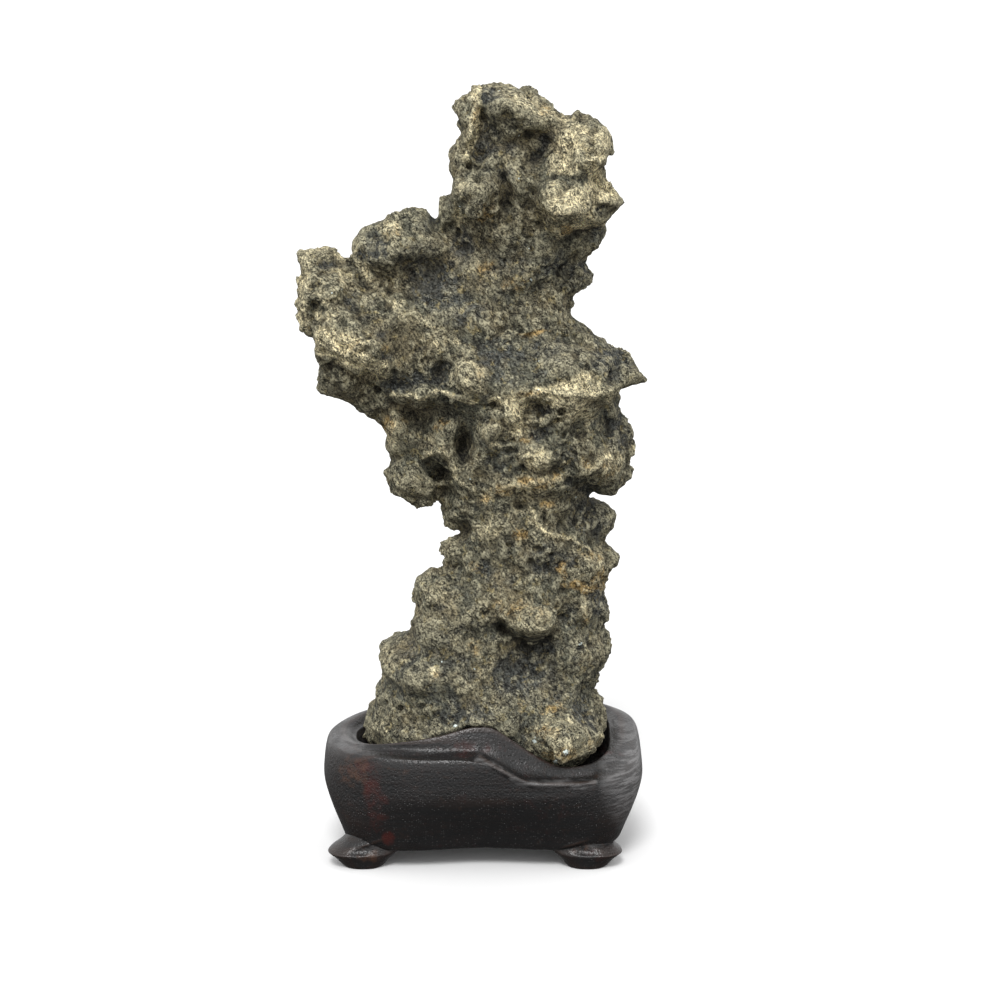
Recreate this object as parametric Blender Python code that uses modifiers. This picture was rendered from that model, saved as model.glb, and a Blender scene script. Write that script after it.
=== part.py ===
"""A scholar's rock standing in its carved wooden stand, at real size.

The rock is one weathered, pitted stone: lumps are run together into one mass, then hollowed, ridged and
roughened. The stand is one carved block: a waisted bowl with a wavy rim, four flared feet, and a socket
sunk to the outline of the rock's foot.

Tables are in millimetres, in the object's own frame: X to the right, Y away from the front, Z up, with
Z = 0 on the table top. MM turns them into Blender's metres.
"""

import math

import bmesh
import bpy
import numpy as np
from mathutils import Matrix, Vector, noise

MM = 0.001

# ---------------------------------------------------------------- driving dimensions, millimetres

STAND_CENTRE = (5.5, -4.0)
STAND_HALF = (57.5, 38.5)  # half width and half depth at the shoulder
STAND_SQUARENESS = 3.0    # superellipse exponent of the plan at the shoulder
BACK_LEFT_CUT = (145, 38, 0.18)  # direction and half spread in degrees of the trimmed corner, and its share
UNDERSIDE = 7.0           # clear height under the stand's body
SHOULDER = 28.0           # height of the stand's widest ring
RIM_WIDTH = 12.5          # from the shoulder in to the socket's wall
SOCKET_FLOOR = 30.0
SOCKET_CLEARANCE = 1.6    # between the rock's foot and the socket's wall or the rim
SEAT_GAP = 0.3            # between the rock's underside and the socket's floor
STAND_SEGMENTS = 64
STAND_COLOUR = (0.035, 0.02, 0.017, 1)
STAND_ROUGHNESS = 0.32

# Around the rim, by direction in degrees from +X: height of its outer crest, how far the band between
# crest and lip is crowned, and height of the lip at the socket. It dips at the front right, under the toe.
RIM_STATIONS = [
    (0, 42.5, 1.2, 42), (15, 44, 1.3, 44), (90, 45, 1.2, 45), (150, 44.5, 1.2, 44),
    (185, 43.5, 1.2, 42.5), (205, 43, 0.5, 44), (225, 43.3, -1.5, 47), (240, 43.3, -2.4, 49),
    (257, 43.5, -2.6, 51.5), (268, 42.5, -2.4, 52), (278, 40.2, -2.2, 51), (290, 36, -2, 47),
    (302, 34.2, -1.6, 42), (314, 33.5, -1, 37.5), (326, 34.5, -0.4, 37), (340, 38, 0.3, 39),
    (360, 42.5, 1.2, 42),
]

# The wall's profile: how far in from the shoulder, height, and squareness of the plan.
WALL_PROFILE = [
    (12, UNDERSIDE, 4.4), (9, 7.4, 4.4), (7.8, 9, 4.4), (6.2, 13, 4.4), (3.8, 18, 4), (1.5, 23, 3.4),
    (0, SHOULDER, STAND_SQUARENESS),
]
# Above the shoulder: how far in, and share of the way up to the crest.
SHOULDER_PROFILE = [(0.2, 0.4), (1, 0.74), (2.2, 0.93), (3.8, 1)]
CROWN_INSET = 7.6         # from the shoulder in to the middle of the rim's band
# The lip: how far out from the socket's wall, and how far below the lip's own height.
LIP_PROFILE = [(1.7, 0), (0.4, 0.4), (0, 1.5)]
SOCKET_ROUND = 1.0        # radius of the edge between the socket's wall and its floor
CAP_SHARE = 0.5           # size of the ring inside each flat end of the body, as a share of its outline

# Each foot: x and y of its middle, with the way it flares. Its section by height: z, half width, half depth,
# and how far it is shifted outward.
FEET = {
    "front_left": (-37, -27, -0.85, -0.5), "front_right": (41, -27, 0.85, -0.5),
    "back_left": (-26, 19, -0.7, 0.6), "back_right": (43, 19, 0.85, 0.5),
}
FOOT_SIDES = 20
FOOT_SQUARENESS = 2.5
FOOT_SECTIONS = [
    (0, 9.2, 8, 0), (0.8, 10.2, 8.8, 0), (3, 11.2, 9.4, 0.7), (5.2, 11.9, 9.8, 1), (6.4, 11.6, 9.5, 0.4),
    (8.6, 10.2, 8.4, -1.6), (11.2, 9, 7.4, -3.8), (14, 8, 6.6, -6),
]

ROCK_VOXEL = 1.5
ROCK_TRIANGLES = 6500
ROCK_COLOUR = (0.15, 0.145, 0.115, 1)
ROCK_ROUGHNESS = 0.92
TRUNK_SIDES = 48
TRUNK_SQUARENESS = 2.3
ROCK_FOOT = 60            # the rock is kept clear of the stand below this height
STROKE_SPREAD = 1.5       # a stroke fades out at the square root of this many half sizes
SKIN = 0.8                # even swelling that makes up for what smoothing takes off
KNOB_SIZE = 11            # spacing of the rounded knobs
KNOB_PUSH = 2.8
KNOB_LEVEL = 0.42         # share of the spacing at which a knob neither swells nor sinks
KNOB_FLATTENING = 1.2
WAVE_SIZE = 22
WAVE_PUSH = 2

# The rock's trunk: height, left, right, front and back of each section.
TRUNK = [
    (31, -34, 44, -29, 24), (45, -35, 46, -31, 26), (55, -32, 43, -29, 24), (68, -30, 46, -25, 20),
    (80, -21, 47, -24, 18), (92, -16, 47, -26, 21), (104, -7, 45, -23, 19), (115, -1, 44, -20, 15),
    (125, -6, 40, -20, 16), (135, -10, 44, -22, 20), (148, -14, 54, -24, 26), (160, -20, 53, -25, 29),
    (168, -30, 52, -27, 30), (176, -38, 52, -28, 28), (185, -40, 46, -22, 23), (195, -38, 36, -17, 20),
    (205, -32, 36, -13, 21), (215, -22, 38, -11, 22), (225, -6, 40, -12, 20), (238, -3, 46, -15, 21),
    (250, -3, 46, -16, 24), (262, -2, 42, -15, 21), (270, 2, 30, -11, 15), (274, 6, 22, -7, 10),
]

# Each lump: x, y, z of its centre, its three half sizes, and how far it leans to the right, in degrees.
ROCK_LUMPS = {
    "fill": [
        (-14, 2, 191, 32.7, 22, 20.5, 20), (-34, 0, 194, 23.4, 20, 17.5, 25), (-22, 4, 207, 20, 17, 14, 10),
        (-44, 2, 200, 15, 16, 13, 0), (-16, 4, 152, 14, 16, 15, 20), (-2, 4, 228, 8, 12, 9, 0),
        (-21, 4, 218, 13, 14, 9, 10), (42, 4, 118, 6.5, 11, 8, 0), (39, 2, 224, 7, 11, 9, 0),
    ],
    "head": [
        (3, -2, 268, 6.9, 10, 5.4, 0), (-1, -4, 267, 4.6, 7, 5, 0), (0, -5, 261, 3.1, 8, 8.6, 0),
        (-2, -5, 251, 3.8, 9, 7.9, 0), (3, -11, 239, 8.3, 11, 10.3, 0), (8, 0, 272, 7.6, 13, 4.7, 0),
        (15, -4, 271, 9.7, 15, 6.1, -5), (24, -4, 264, 9, 14, 7.2, -25), (39, -9, 256, 9, 14, 10, 0),
        (44, -6, 260, 5.2, 10, 4.6, 0), (45, -6, 254, 3.8, 9, 5.4, 0), (46, -8, 238, 8.3, 8, 4.7, 0),
        (50, -8, 237, 4.2, 5, 2.5, 0), (40, -4, 232, 8.7, 12, 6.1, 0), (34, -14, 239, 9.7, 12, 9.3, 0),
        (42, 2, 223, 5.3, 10, 4.7, 0), (40, 4, 215, 3.2, 6, 2.2, 0), (37, 4, 209, 5, 10, 5.5, 0),
        (30, 2, 200, 6.4, 12, 8.8, 0), (-8, -2, 236, 3.1, 5, 2.2, -30), (-5, -2, 232, 3.2, 7, 5, 0),
    ],
    "shoulder": [
        (-22, 2, 222, 9.5, 14, 8.2, 10), (-17, 2, 227, 4.6, 10, 4.4, 0), (-31, 0, 219, 9, 14, 8.6, 10),
        (-34, 0, 216, 5.6, 12, 6.9, 0), (-12, 2, 219, 7.1, 13, 7.3, 0), (-52, -2, 212, 6.8, 11, 5.4, 0),
        (-57, -2, 214, 3.5, 8, 4.3, 0), (-50, -2, 215, 3.4, 8, 4, 0), (-43, 0, 210, 5.4, 10, 5.1, 0),
        (-57, -2, 205, 4.6, 10, 6.2, 0), (-58, -2, 197, 4.6, 10, 6.5, 0), (-50, -9, 202, 8.4, 13, 9.7, 0),
    ],
    "wing": [
        (-49, -8, 187, 5.3, 11, 6.9, 0), (-44, -14, 192, 9.1, 12, 8.6, 0), (-35, -15, 186, 11.9, 13, 9, -20),
        (-48, -4, 174, 5.3, 10, 6.6, 0), (-42, -6, 172, 6.4, 11, 6.2, 0), (-34, -4, 167, 8.5, 12, 7, -28),
        (-26, -2, 159, 7.8, 12, 7.3, -28), (-24, 0, 151, 7.2, 11, 7.4, 0),
    ],
    "table": [
        (32, -3, 181, 20.5, 24, 9, -12), (50, 0, 177, 11.5, 15, 6.6, -25), (57, -2, 173, 7.5, 8, 3, -8),
        (47, 2, 180.5, 8.6, 13, 5.4, -30), (25, -18, 172, 30.8, 12, 2.9, 2), (-7, -17, 170, 20.3, 9, 1.8, 0),
        (43, -12, 171, 12.7, 12, 3.3, 5), (32, -16, 166, 15.4, 12, 5.1, 0), (46, -6, 162, 7.1, 11, 5.8, 0),
        (52, 2, 157, 4.7, 9, 6.6, 0), (55, 2, 148, 4.7, 8, 4.1, 0), (54, 2, 138, 5, 8, 3.7, 0),
        (48, 0, 135, 5.5, 10, 4.5, 0),
    ],
    "middle": [
        (13, -17, 161, 9, 9, 6, -20), (27, -19, 150, 9.5, 9, 7, 10), (39, -14, 149, 9.2, 12, 8.7, 0),
        (47, -8, 146, 8.5, 12, 10.3, 0), (31, -13, 138, 9, 10, 6.5, 15), (14, -12, 139, 9, 10, 7.5, -15),
        (-6, -11, 141, 9.9, 6, 2.8, -42), (1, -8, 134, 7.1, 9, 4.6, 0), (-21, -2, 137, 9, 13, 9.2, 0),
        (-24, -2, 133, 5.8, 10, 5.2, 0), (-24, 0, 141, 4.8, 9, 5.2, 0), (-16, -2, 132, 5.8, 10, 5.2, 0),
    ],
    "waist": [
        (-5, -4, 125, 5.2, 8, 4.8, 0), (1, 0, 117, 4.7, 10, 5.2, 0), (-5, -4, 110, 5.4, 8, 4.3, 0),
        (12, -13, 124, 9, 9, 8.5, 25), (27, -14, 115, 11, 9, 7, -28), (43, 0, 120.5, 7.8, 12, 6, 0),
        (46, -2, 106, 7, 10, 5.6, 0), (44, -4, 100, 7.5, 10, 5.5, 0), (34, -11, 103, 9, 10, 9, 20),
        (16, -13, 102, 9, 10, 8, -10), (4, -8, 106, 8, 9, 7, 20),
    ],
    "lower": [
        (-12, -4, 95, 8, 13, 7.4, 0), (-14, -4, 88, 6.2, 12, 6, 0), (-5, -12, 84, 17.3, 13, 10.4, 0),
        (-24, -4, 69, 9, 15, 9.4, 0), (-11, -12, 67, 17.3, 14, 12.6, 0), (-25, -4, 57, 9.5, 15, 9.8, 0),
        (-28, -2, 47, 8.4, 14, 7.5, 0), (-33, -4, 42, 6.2, 8, 2.6, 0), (22, -21, 92, 11, 11, 9, 0),
        (43, 0, 87, 7.6, 12, 6.4, 0), (43, 0, 73, 7.3, 12, 8.3, 0), (40, 0, 62, 6.2, 12, 6, 0),
        (38, -2, 54, 6.9, 13, 6.8, 0), (2, -18, 55, 20.9, 12, 9.6, 0),
    ],
    "toe": [
        (33, -22, 46, 10.8, 11, 9.6, 0), (41, -17, 43, 6.5, 10, 7.4, 0), (44, -2, 47, 5.9, 12, 7.5, 0),
    ],
}

# Hollows and swellings worked into the front and back faces: x, z, half width, half height, lean, and push,
# which is outward where it is positive.
FRONT_STROKES = {
    "head": [
        (7, 274, 4, 4, 0, -2), (5, 265, 4, 7, 0, -5), (5, 255, 6, 6, 0, -7), (1, 265, 2, 9, -5, 2),
        (18, 269, 11, 10, 0, 5), (21, 260, 5, 3, 0, -7), (15, 255, 7, 5, 0, -5), (23, 253, 4, 5, 35, -8),
        (27, 258, 3, 7, 30, -5), (39, 258, 11, 12, 0, 4), (34, 246, 3, 3, 0, -2), (32, 239, 9, 8, 0, 1.5),
        (47, 239, 7, 5, 20, 2), (3, 241, 9, 14, 0, 2.5), (4, 247, 2, 2, 0, -3), (12, 240, 3, 9, 0, -7),
        (19, 242, 5, 6, 0, 2), (34, 229, 8, 4, 0, 3), (42, 224, 5, 6, 0, -3), (-1, 223, 5, 6, 0, -5),
        (13, 225, 6, 6, 0, 2), (25, 220, 6, 5, 0, 2), (16, 215, 5, 5, 0, -1.5), (32, 212, 5, 5, 0, -2),
    ],
    "wing": [
        (-22, 226, 11, 9, 0, 3), (-37, 220, 4, 6, 0, -2), (-33, 226, 3, 3, 0, -2.5), (-15, 231, 5, 5, 0, 2),
        (-9, 226, 5, 4, 0, -3), (-15, 212, 10, 8, 0, -4), (-50, 211, 6, 5, 0, -2), (-41, 198, 11, 12, 0, 2),
        (-25, 198, 10, 7, 30, 2.5), (-43, 186, 13, 5, 25, 3), (-50, 175, 5, 6, 0, -3),
    ],
    "table": [
        (-10, 180, 7, 7, 0, -9), (-20, 175, 11, 4, 10, -5), (0, 178, 5, 7, 0, 4), (18, 186, 19, 9, 0, -2),
        (39, 184, 3, 12, 32, -2.5), (50, 181, 11, 8, 30, 1.5),
    ],
    "under": [
        (9, 168, 3, 3, 0, -4), (24, 167, 5, 4, 0, -5), (38, 163, 4, 6, 0, -3), (-11, 165, 17, 5, 0, -5),
        (13, 165, 6, 5, -20, 3), (9, 159, 5, 6, 0, 3), (-2, 154, 5, 9, -8, -13), (-25, 154, 6, 8, 0, 2),
        (-10, 150, 9, 3, 20, 2), (-2, 143, 3, 10, 30, 2.5), (-11, 141, 5, 7, 0, -8), (-21, 138, 10, 9, 0, 2),
        (-25, 140, 3, 3, 0, -2.5), (25, 150, 10, 8, 0, 1.5), (16, 152, 5, 4, 0, -2.5), (37, 155, 6, 5, 0, 2),
        (48, 160, 3, 10, 10, -5), (46, 143, 7, 5, 0, 2), (21, 140, 17, 4, 0, 2), (32, 134, 9, 3, 0, -2),
    ],
    "waist": [
        (18, 131, 3, 3, 0, -4), (27, 126, 2, 7, -20, 1.5), (42, 124, 10, 9, 0, -4), (36, 118, 13, 2, 12, 2),
        (11, 122, 7, 6, 0, 1.5), (23, 115, 5, 3, 0, -2), (41, 109, 8, 6, 0, 3), (11, 105, 8, 6, 0, -1.5),
        (-13, 98, 8, 11, 0, 3), (0, 100, 4, 9, 0, -2),
    ],
    "base": [
        (21, 95, 14, 10, 0, 1.5), (13, 87, 4, 4, 0, -7), (21, 80, 11, 6, 0, -7), (22, 71, 13, 11, 0, -5),
        (29, 97, 2, 10, 0, -2), (44, 93, 7, 7, 0, 3), (40, 86, 4, 3, 0, -2.5), (44, 77, 8, 7, 0, 3),
        (-20, 76, 14, 12, 0, 4), (-10, 83, 6, 5, 0, -1.5), (-13, 71, 4, 3, 0, 1.5), (-3, 73, 6, 13, 0, 3),
        (-21, 61, 11, 5, 0, -2.5), (4, 60, 13, 6, 0, 2), (-32, 51, 6, 6, 0, 2), (-10, 53, 6, 3, 0, -2),
        (32, 50, 15, 13, 0, 2.5), (18, 49, 4, 6, -25, -3), (42, 59, 4, 5, 0, -4),
    ],
}
BACK_STROKES = {
    "head": [
        (22, 258, 14, 12, 0, 4), (6, 240, 8, 10, 15, -5), (36, 240, 9, 9, 0, 3), (20, 226, 12, 7, -10, -5),
        (41, 262, 6, 6, 0, -3), (30, 250, 4, 5, 20, -5),
    ],
    "wing": [
        (-38, 205, 14, 9, 15, 4), (-18, 200, 9, 8, 0, -5), (-48, 192, 8, 7, 0, -3), (-24, 222, 9, 7, 0, 3),
    ],
    "table": [
        (10, 182, 20, 7, 5, 4), (38, 176, 12, 6, -10, 4), (24, 196, 13, 8, 0, -5), (-18, 178, 12, 6, 15, 3),
    ],
    "under": [
        (2, 160, 11, 9, 0, -6), (30, 158, 11, 7, 0, 3), (16, 146, 9, 6, 0, 3), (44, 146, 7, 9, 0, -4),
        (-16, 146, 9, 9, 0, 3),
    ],
    "waist": [
        (16, 124, 9, 7, 0, -5), (34, 114, 9, 8, 0, 3), (8, 108, 7, 6, 0, 3),
    ],
    "base": [
        (26, 92, 12, 8, 0, -5), (2, 84, 12, 10, 0, 4), (34, 70, 11, 10, 0, 3), (12, 66, 7, 11, 10, -6),
        (-14, 58, 13, 9, 0, 3), (40, 48, 9, 7, 0, 3), (14, 46, 16, 6, 0, 2),
    ],
}

# ---------------------------------------------------------------- small tools


def clear_scene():
    for obj in list(bpy.data.objects):
        bpy.data.objects.remove(obj, do_unlink=True)


def new_object(name, mesh, collection):
    obj = bpy.data.objects.new(name, mesh)
    collection.objects.link(obj)
    return obj


def bake_modifiers(obj):
    """Replaces the object's mesh with what its modifiers make of it."""
    graph = bpy.context.evaluated_depsgraph_get()
    mesh = bpy.data.meshes.new_from_object(obj.evaluated_get(graph))
    obj.modifiers.clear()
    obj.data = mesh


def read_points(mesh):
    points = np.empty(len(mesh.vertices) * 3)
    mesh.vertices.foreach_get("co", points)
    return points.reshape(-1, 3)


def read_normals(mesh):
    normals = np.empty(len(mesh.vertices) * 3)
    mesh.vertices.foreach_get("normal", normals)
    return normals.reshape(-1, 3)


def write_points(mesh, points):
    mesh.vertices.foreach_set("co", points.ravel())
    mesh.update()


def keep_largest_shell(mesh):
    """Removes the small shells that a voxel remesh leaves inside a mass."""
    bm = bmesh.new()
    bm.from_mesh(mesh)
    unseen = set(bm.verts)
    shells = []
    while unseen:
        shell, stack = [], [unseen.pop()]
        while stack:
            vert = stack.pop()
            shell.append(vert)
            for edge in vert.link_edges:
                other = edge.other_vert(vert)
                if other in unseen:
                    unseen.remove(other)
                    stack.append(other)
        shells.append(shell)
    shells.sort(key=len, reverse=True)
    bmesh.ops.delete(bm, geom=[v for shell in shells[1:] for v in shell], context="VERTS")
    bm.to_mesh(mesh)
    bm.free()


def smooth_step(low, high, value):
    t = np.clip((value - low) / (high - low), 0, 1)
    return t * t * (3 - 2 * t)


def even_turns(count):
    """Evenly spaced directions all the way round, in radians from +X."""
    return np.arange(count) * 2 * math.pi / count


def ring(centre, radii, height):
    """A closed ring of points around centre, one for each radius, at one height or at one height each."""
    count = len(radii)
    turns = even_turns(count)
    x = centre[0] + radii * np.cos(turns)
    y = centre[1] + radii * np.sin(turns)
    return np.column_stack([x, y, np.broadcast_to(height, count)]) * MM


def loft(name, rings):
    """A closed solid through rings of equal count, listed from the bottom up, with fans over both ends."""
    bm = bmesh.new()
    loops = [[bm.verts.new(point) for point in points] for points in rings]
    count = len(loops[0])
    for low, high in zip(loops, loops[1:]):
        for i in range(count):
            j = (i + 1) % count
            bm.faces.new((low[i], low[j], high[j], high[i]))
    for loop, step in ((loops[0], -1), (loops[-1], 1)):
        middle = bm.verts.new(sum((v.co for v in loop), Vector()) / count)
        for i in range(count):
            a, b = loop[i], loop[(i + 1) % count]
            bm.faces.new((a, b, middle) if step > 0 else (b, a, middle))
    mesh = bpy.data.meshes.new(name)
    bm.to_mesh(mesh)
    bm.free()
    return mesh


def superellipse(turns, half, squareness):
    """Distance from the centre to a superellipse in each direction, given in radians."""
    across = np.abs(np.cos(turns) / half[0]) ** squareness
    along = np.abs(np.sin(turns) / half[1]) ** squareness
    return (across + along) ** (-1 / squareness)


def finish(obj, name, colour, roughness):
    """Smooth shading, and the object's own material."""
    obj.data.shade_smooth()
    material = bpy.data.materials.new(name)
    material.use_nodes = True
    shader = material.node_tree.nodes["Principled BSDF"]
    shader.inputs["Base Color"].default_value = colour
    shader.inputs["Roughness"].default_value = roughness
    shader.inputs["Metallic"].default_value = 0
    obj.data.materials.clear()
    obj.data.materials.append(material)


# ---------------------------------------------------------------- the stand's form


def plan_radius(turns, squareness):
    """The stand's plan: a rounded oblong with its back left corner trimmed."""
    middle, spread, share = BACK_LEFT_CUT
    away = np.abs((np.degrees(turns) - middle + 180) % 360 - 180) / spread
    trimmed = 1 - share * np.clip(1 - away ** 2, 0, 1) ** 1.5
    return superellipse(turns, STAND_HALF, squareness) * trimmed


def rim_heights(turns):
    """Crest, crown and lip of the rim in each direction, eased between the stations."""
    angles = np.degrees(turns) % 360
    stations = np.array(RIM_STATIONS, dtype=float)
    place = np.clip(np.searchsorted(stations[:, 0], angles, side="right") - 1, 0, len(stations) - 2)
    low, high = stations[place], stations[place + 1]
    t = (angles - low[:, 0]) / (high[:, 0] - low[:, 0])
    t = (t * t * (3 - 2 * t))[:, None]
    return ((1 - t) * low + t * high)[:, 1:].T


def top_profile(turns):
    """The rim from the shoulder in to the socket: how far in, and the height in each direction."""
    crest, crown, lip = rim_heights(turns)
    rise = crest - SHOULDER
    rows = [(inset, SHOULDER + share * rise) for inset, share in SHOULDER_PROFILE]
    rows.append((CROWN_INSET, (crest + lip) / 2 + crown))
    return rows + [(RIM_WIDTH - outward, lip - drop) for outward, drop in LIP_PROFILE]


def build_stand_body():
    turns = even_turns(STAND_SEGMENTS)
    shoulder = plan_radius(turns, STAND_SQUARENESS)
    socket = shoulder - RIM_WIDTH
    rows = [(CAP_SHARE * shoulder, UNDERSIDE)]
    for inset, height, squareness in WALL_PROFILE:
        rows.append((plan_radius(turns, squareness) - inset, height))
    rows += [(shoulder - inset, height) for inset, height in top_profile(turns)]
    rows.append((socket, SOCKET_FLOOR + SOCKET_ROUND))
    rows.append((socket - SOCKET_ROUND, SOCKET_FLOOR))
    rows.append((CAP_SHARE * socket, SOCKET_FLOOR))
    return loft("wooden_stand", [ring(STAND_CENTRE, radii, height) for radii, height in rows])


def build_foot(name, x, y, out_x, out_y):
    turns = even_turns(FOOT_SIDES)
    rings = []
    for height, half_x, half_y, shift in FOOT_SECTIONS:
        middle = (x + shift * out_x, y + shift * out_y)
        rings.append(ring(middle, superellipse(turns, (half_x, half_y), FOOT_SQUARENESS), height))
    return loft(name, rings)


def build_stand(collection, cutters):
    """The body with its four feet joined on."""
    stand = new_object("wooden_stand", build_stand_body(), collection)
    for name, place in FEET.items():
        foot = new_object("foot_" + name, build_foot("foot_" + name, *place), cutters)
        join = stand.modifiers.new("join " + name, "BOOLEAN")
        join.operation = "UNION"
        join.object = foot
    bake_modifiers(stand)
    for foot in list(cutters.objects):
        bpy.data.objects.remove(foot, do_unlink=True)
    finish(stand, "rosewood", STAND_COLOUR, STAND_ROUGHNESS)
    return stand


# ---------------------------------------------------------------- the rock


def lump_matrix(x, y, z, half_x, half_y, half_z, lean):
    turn = Matrix.Rotation(math.radians(-lean), 4, "Y")
    size = Matrix.Diagonal((half_x * MM, half_y * MM, half_z * MM, 1))
    return Matrix.Translation(Vector((x, y, z)) * MM) @ turn @ size


def trunk_ring(z, left, right, front, back):
    half = ((right - left) / 2, (back - front) / 2)
    radii = superellipse(even_turns(TRUNK_SIDES), half, TRUNK_SQUARENESS)
    return ring(((left + right) / 2, (front + back) / 2), radii, z)


def lumps_mesh():
    """The trunk and all the lumps in one mesh, still overlapping."""
    bm = bmesh.new()
    bm.from_mesh(loft("trunk", [trunk_ring(*row) for row in TRUNK]))
    for rows in ROCK_LUMPS.values():
        for row in rows:
            bmesh.ops.create_icosphere(bm, subdivisions=3, radius=1, matrix=lump_matrix(*row))
    mesh = bpy.data.meshes.new("rock")
    bm.to_mesh(mesh)
    bm.free()
    return mesh


def fuse(obj, smoothing):
    """Runs overlapping shells together into one closed skin."""
    remesh = obj.modifiers.new("fuse", "REMESH")
    remesh.mode = "VOXEL"
    remesh.voxel_size = ROCK_VOXEL * MM
    smooth = obj.modifiers.new("soften", "SMOOTH")
    smooth.factor = 0.5
    smooth.iterations = smoothing
    bake_modifiers(obj)
    keep_largest_shell(obj.data)


def work_face(mesh, strokes, side):
    """Pushes the face that looks along side * Y in or out, stroke by stroke."""
    points = read_points(mesh)
    x, z = points[:, 0] / MM, points[:, 2] / MM
    push = np.zeros(len(points))
    for rows in strokes.values():
        for at_x, at_z, half_x, half_z, lean, depth in rows:
            turn = math.radians(lean)
            along = ((x - at_x) * math.cos(turn) + (z - at_z) * math.sin(turn)) / half_x
            up = ((z - at_z) * math.cos(turn) - (x - at_x) * math.sin(turn)) / half_z
            push += depth * np.clip(1 - (along ** 2 + up ** 2) / STROKE_SPREAD, 0, 1) ** 2
    facing = smooth_step(-0.1, 0.5, side * read_normals(mesh)[:, 1])
    points[:, 1] += side * push * facing * MM
    write_points(mesh, points)


def roughen(mesh):
    """Rounded knobs and broad waves, in millimetres along the surface's normal."""
    points, normals = read_points(mesh), read_normals(mesh)
    rough = np.empty(len(points))
    for i, point in enumerate(points):
        place = Vector((point[0], point[1], point[2] * KNOB_FLATTENING)) / MM
        knobs = KNOB_LEVEL - noise.voronoi(place / KNOB_SIZE)[0][0]
        rough[i] = SKIN + WAVE_PUSH * noise.noise(place / WAVE_SIZE) + KNOB_PUSH * knobs
    write_points(mesh, points + normals * rough[:, None] * MM)


def clear_of_stand(mesh):
    """Keeps the rock's foot off the stand: in from the socket's wall, up from the rim, flat on its floor."""
    points = read_points(mesh)
    low = points[:, 2] < ROCK_FOOT * MM
    x = points[low, 0] / MM - STAND_CENTRE[0]
    y = points[low, 1] / MM - STAND_CENTRE[1]
    z = points[low, 2] / MM
    turns = np.arctan2(y, x)
    reach = np.hypot(x, y)
    shoulder = plan_radius(turns, STAND_SQUARENESS)
    inset = shoulder - reach
    rows = top_profile(turns)
    insets = [row[0] for row in rows]
    for i in range(len(z)):
        lift = np.interp(inset[i], insets, [row[1][i] for row in rows]) + SOCKET_CLEARANCE - z[i]
        pull = RIM_WIDTH + SOCKET_CLEARANCE - inset[i]
        if lift <= 0 or pull <= 0:
            continue
        if lift < pull:
            z[i] += lift
        else:
            reach[i] -= pull
    points[low, 0] = (STAND_CENTRE[0] + reach * np.cos(turns)) * MM
    points[low, 1] = (STAND_CENTRE[1] + reach * np.sin(turns)) * MM
    points[low, 2] = np.maximum(z, SOCKET_FLOOR + SEAT_GAP) * MM
    write_points(mesh, points)


def build_rock(collection):
    rock = new_object("rock", lumps_mesh(), collection)
    fuse(rock, 3)
    work_face(rock.data, FRONT_STROKES, -1)
    work_face(rock.data, BACK_STROKES, 1)
    roughen(rock.data)
    clear_of_stand(rock.data)
    fuse(rock, 1)
    clear_of_stand(rock.data)
    thin = rock.modifiers.new("thin out", "DECIMATE")
    thin.ratio = ROCK_TRIANGLES / (2 * len(rock.data.polygons))
    bake_modifiers(rock)
    clear_of_stand(rock.data)
    finish(rock, "stone", ROCK_COLOUR, ROCK_ROUGHNESS)
    return rock


# ---------------------------------------------------------------- the whole object


def new_collection(name):
    collection = bpy.data.collections.new(name)
    bpy.context.scene.collection.children.link(collection)
    return collection


def centre_on_origin(objects, collection):
    """Parents the objects to an empty placed so that the middle of their common base is the origin."""
    points = np.concatenate([read_points(obj.data) for obj in objects])
    middle = (points.min(axis=0) + points.max(axis=0)) / 2
    root = new_object("scholars_rock_root", None, collection)
    root.location = (-middle[0], -middle[1], 0)
    for obj in objects:
        obj.parent = root


def main():
    clear_scene()
    collection = new_collection("scholars_rock")
    cutters = new_collection("cutters")
    cutters.hide_render = True
    rock = build_rock(collection)
    stand = build_stand(collection, cutters)
    centre_on_origin([rock, stand], collection)


main()
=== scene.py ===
"""The looks of the scholar's rock and its carved stand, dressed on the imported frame.

The rock starts from the frame's solid and is worked finer in three passes: knobs and folds, then the
front's outline, hollows and ridges, then small holes and grain. The stand is lofted again from the
source's profiles, with many more sections and with carving of its own.

Tables are in millimetres and MM turns them into metres. Features of the front are placed in the picture
plane: U to the right and V up, measured from the middle of the view, on a plane through the object square
to the line of sight. The numbers added to points before a noise is read only keep one noise apart from
another.
"""

import math

import bmesh
import bpy
import numpy as np
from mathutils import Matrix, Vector, noise


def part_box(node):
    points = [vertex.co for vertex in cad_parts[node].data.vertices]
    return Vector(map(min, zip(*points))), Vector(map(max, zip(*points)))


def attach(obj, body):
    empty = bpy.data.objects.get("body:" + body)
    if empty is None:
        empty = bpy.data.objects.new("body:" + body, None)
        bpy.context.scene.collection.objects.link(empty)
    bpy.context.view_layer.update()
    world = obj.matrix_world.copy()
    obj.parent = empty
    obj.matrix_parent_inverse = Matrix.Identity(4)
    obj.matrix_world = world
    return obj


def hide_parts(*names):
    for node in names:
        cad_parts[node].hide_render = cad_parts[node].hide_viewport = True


MM = 0.001

# ---------------------------------------------------------------- the view

SIGHT_ELEVATION = math.radians(14)  # how far down the camera looks
SIGHT_DISTANCE = 1000
SIGHT_TARGET = (10.4, 4.0, 127.75)  # the point in the middle of the view
LENS = 100
SENSOR = 36

# ---------------------------------------------------------------- the stand

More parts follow.
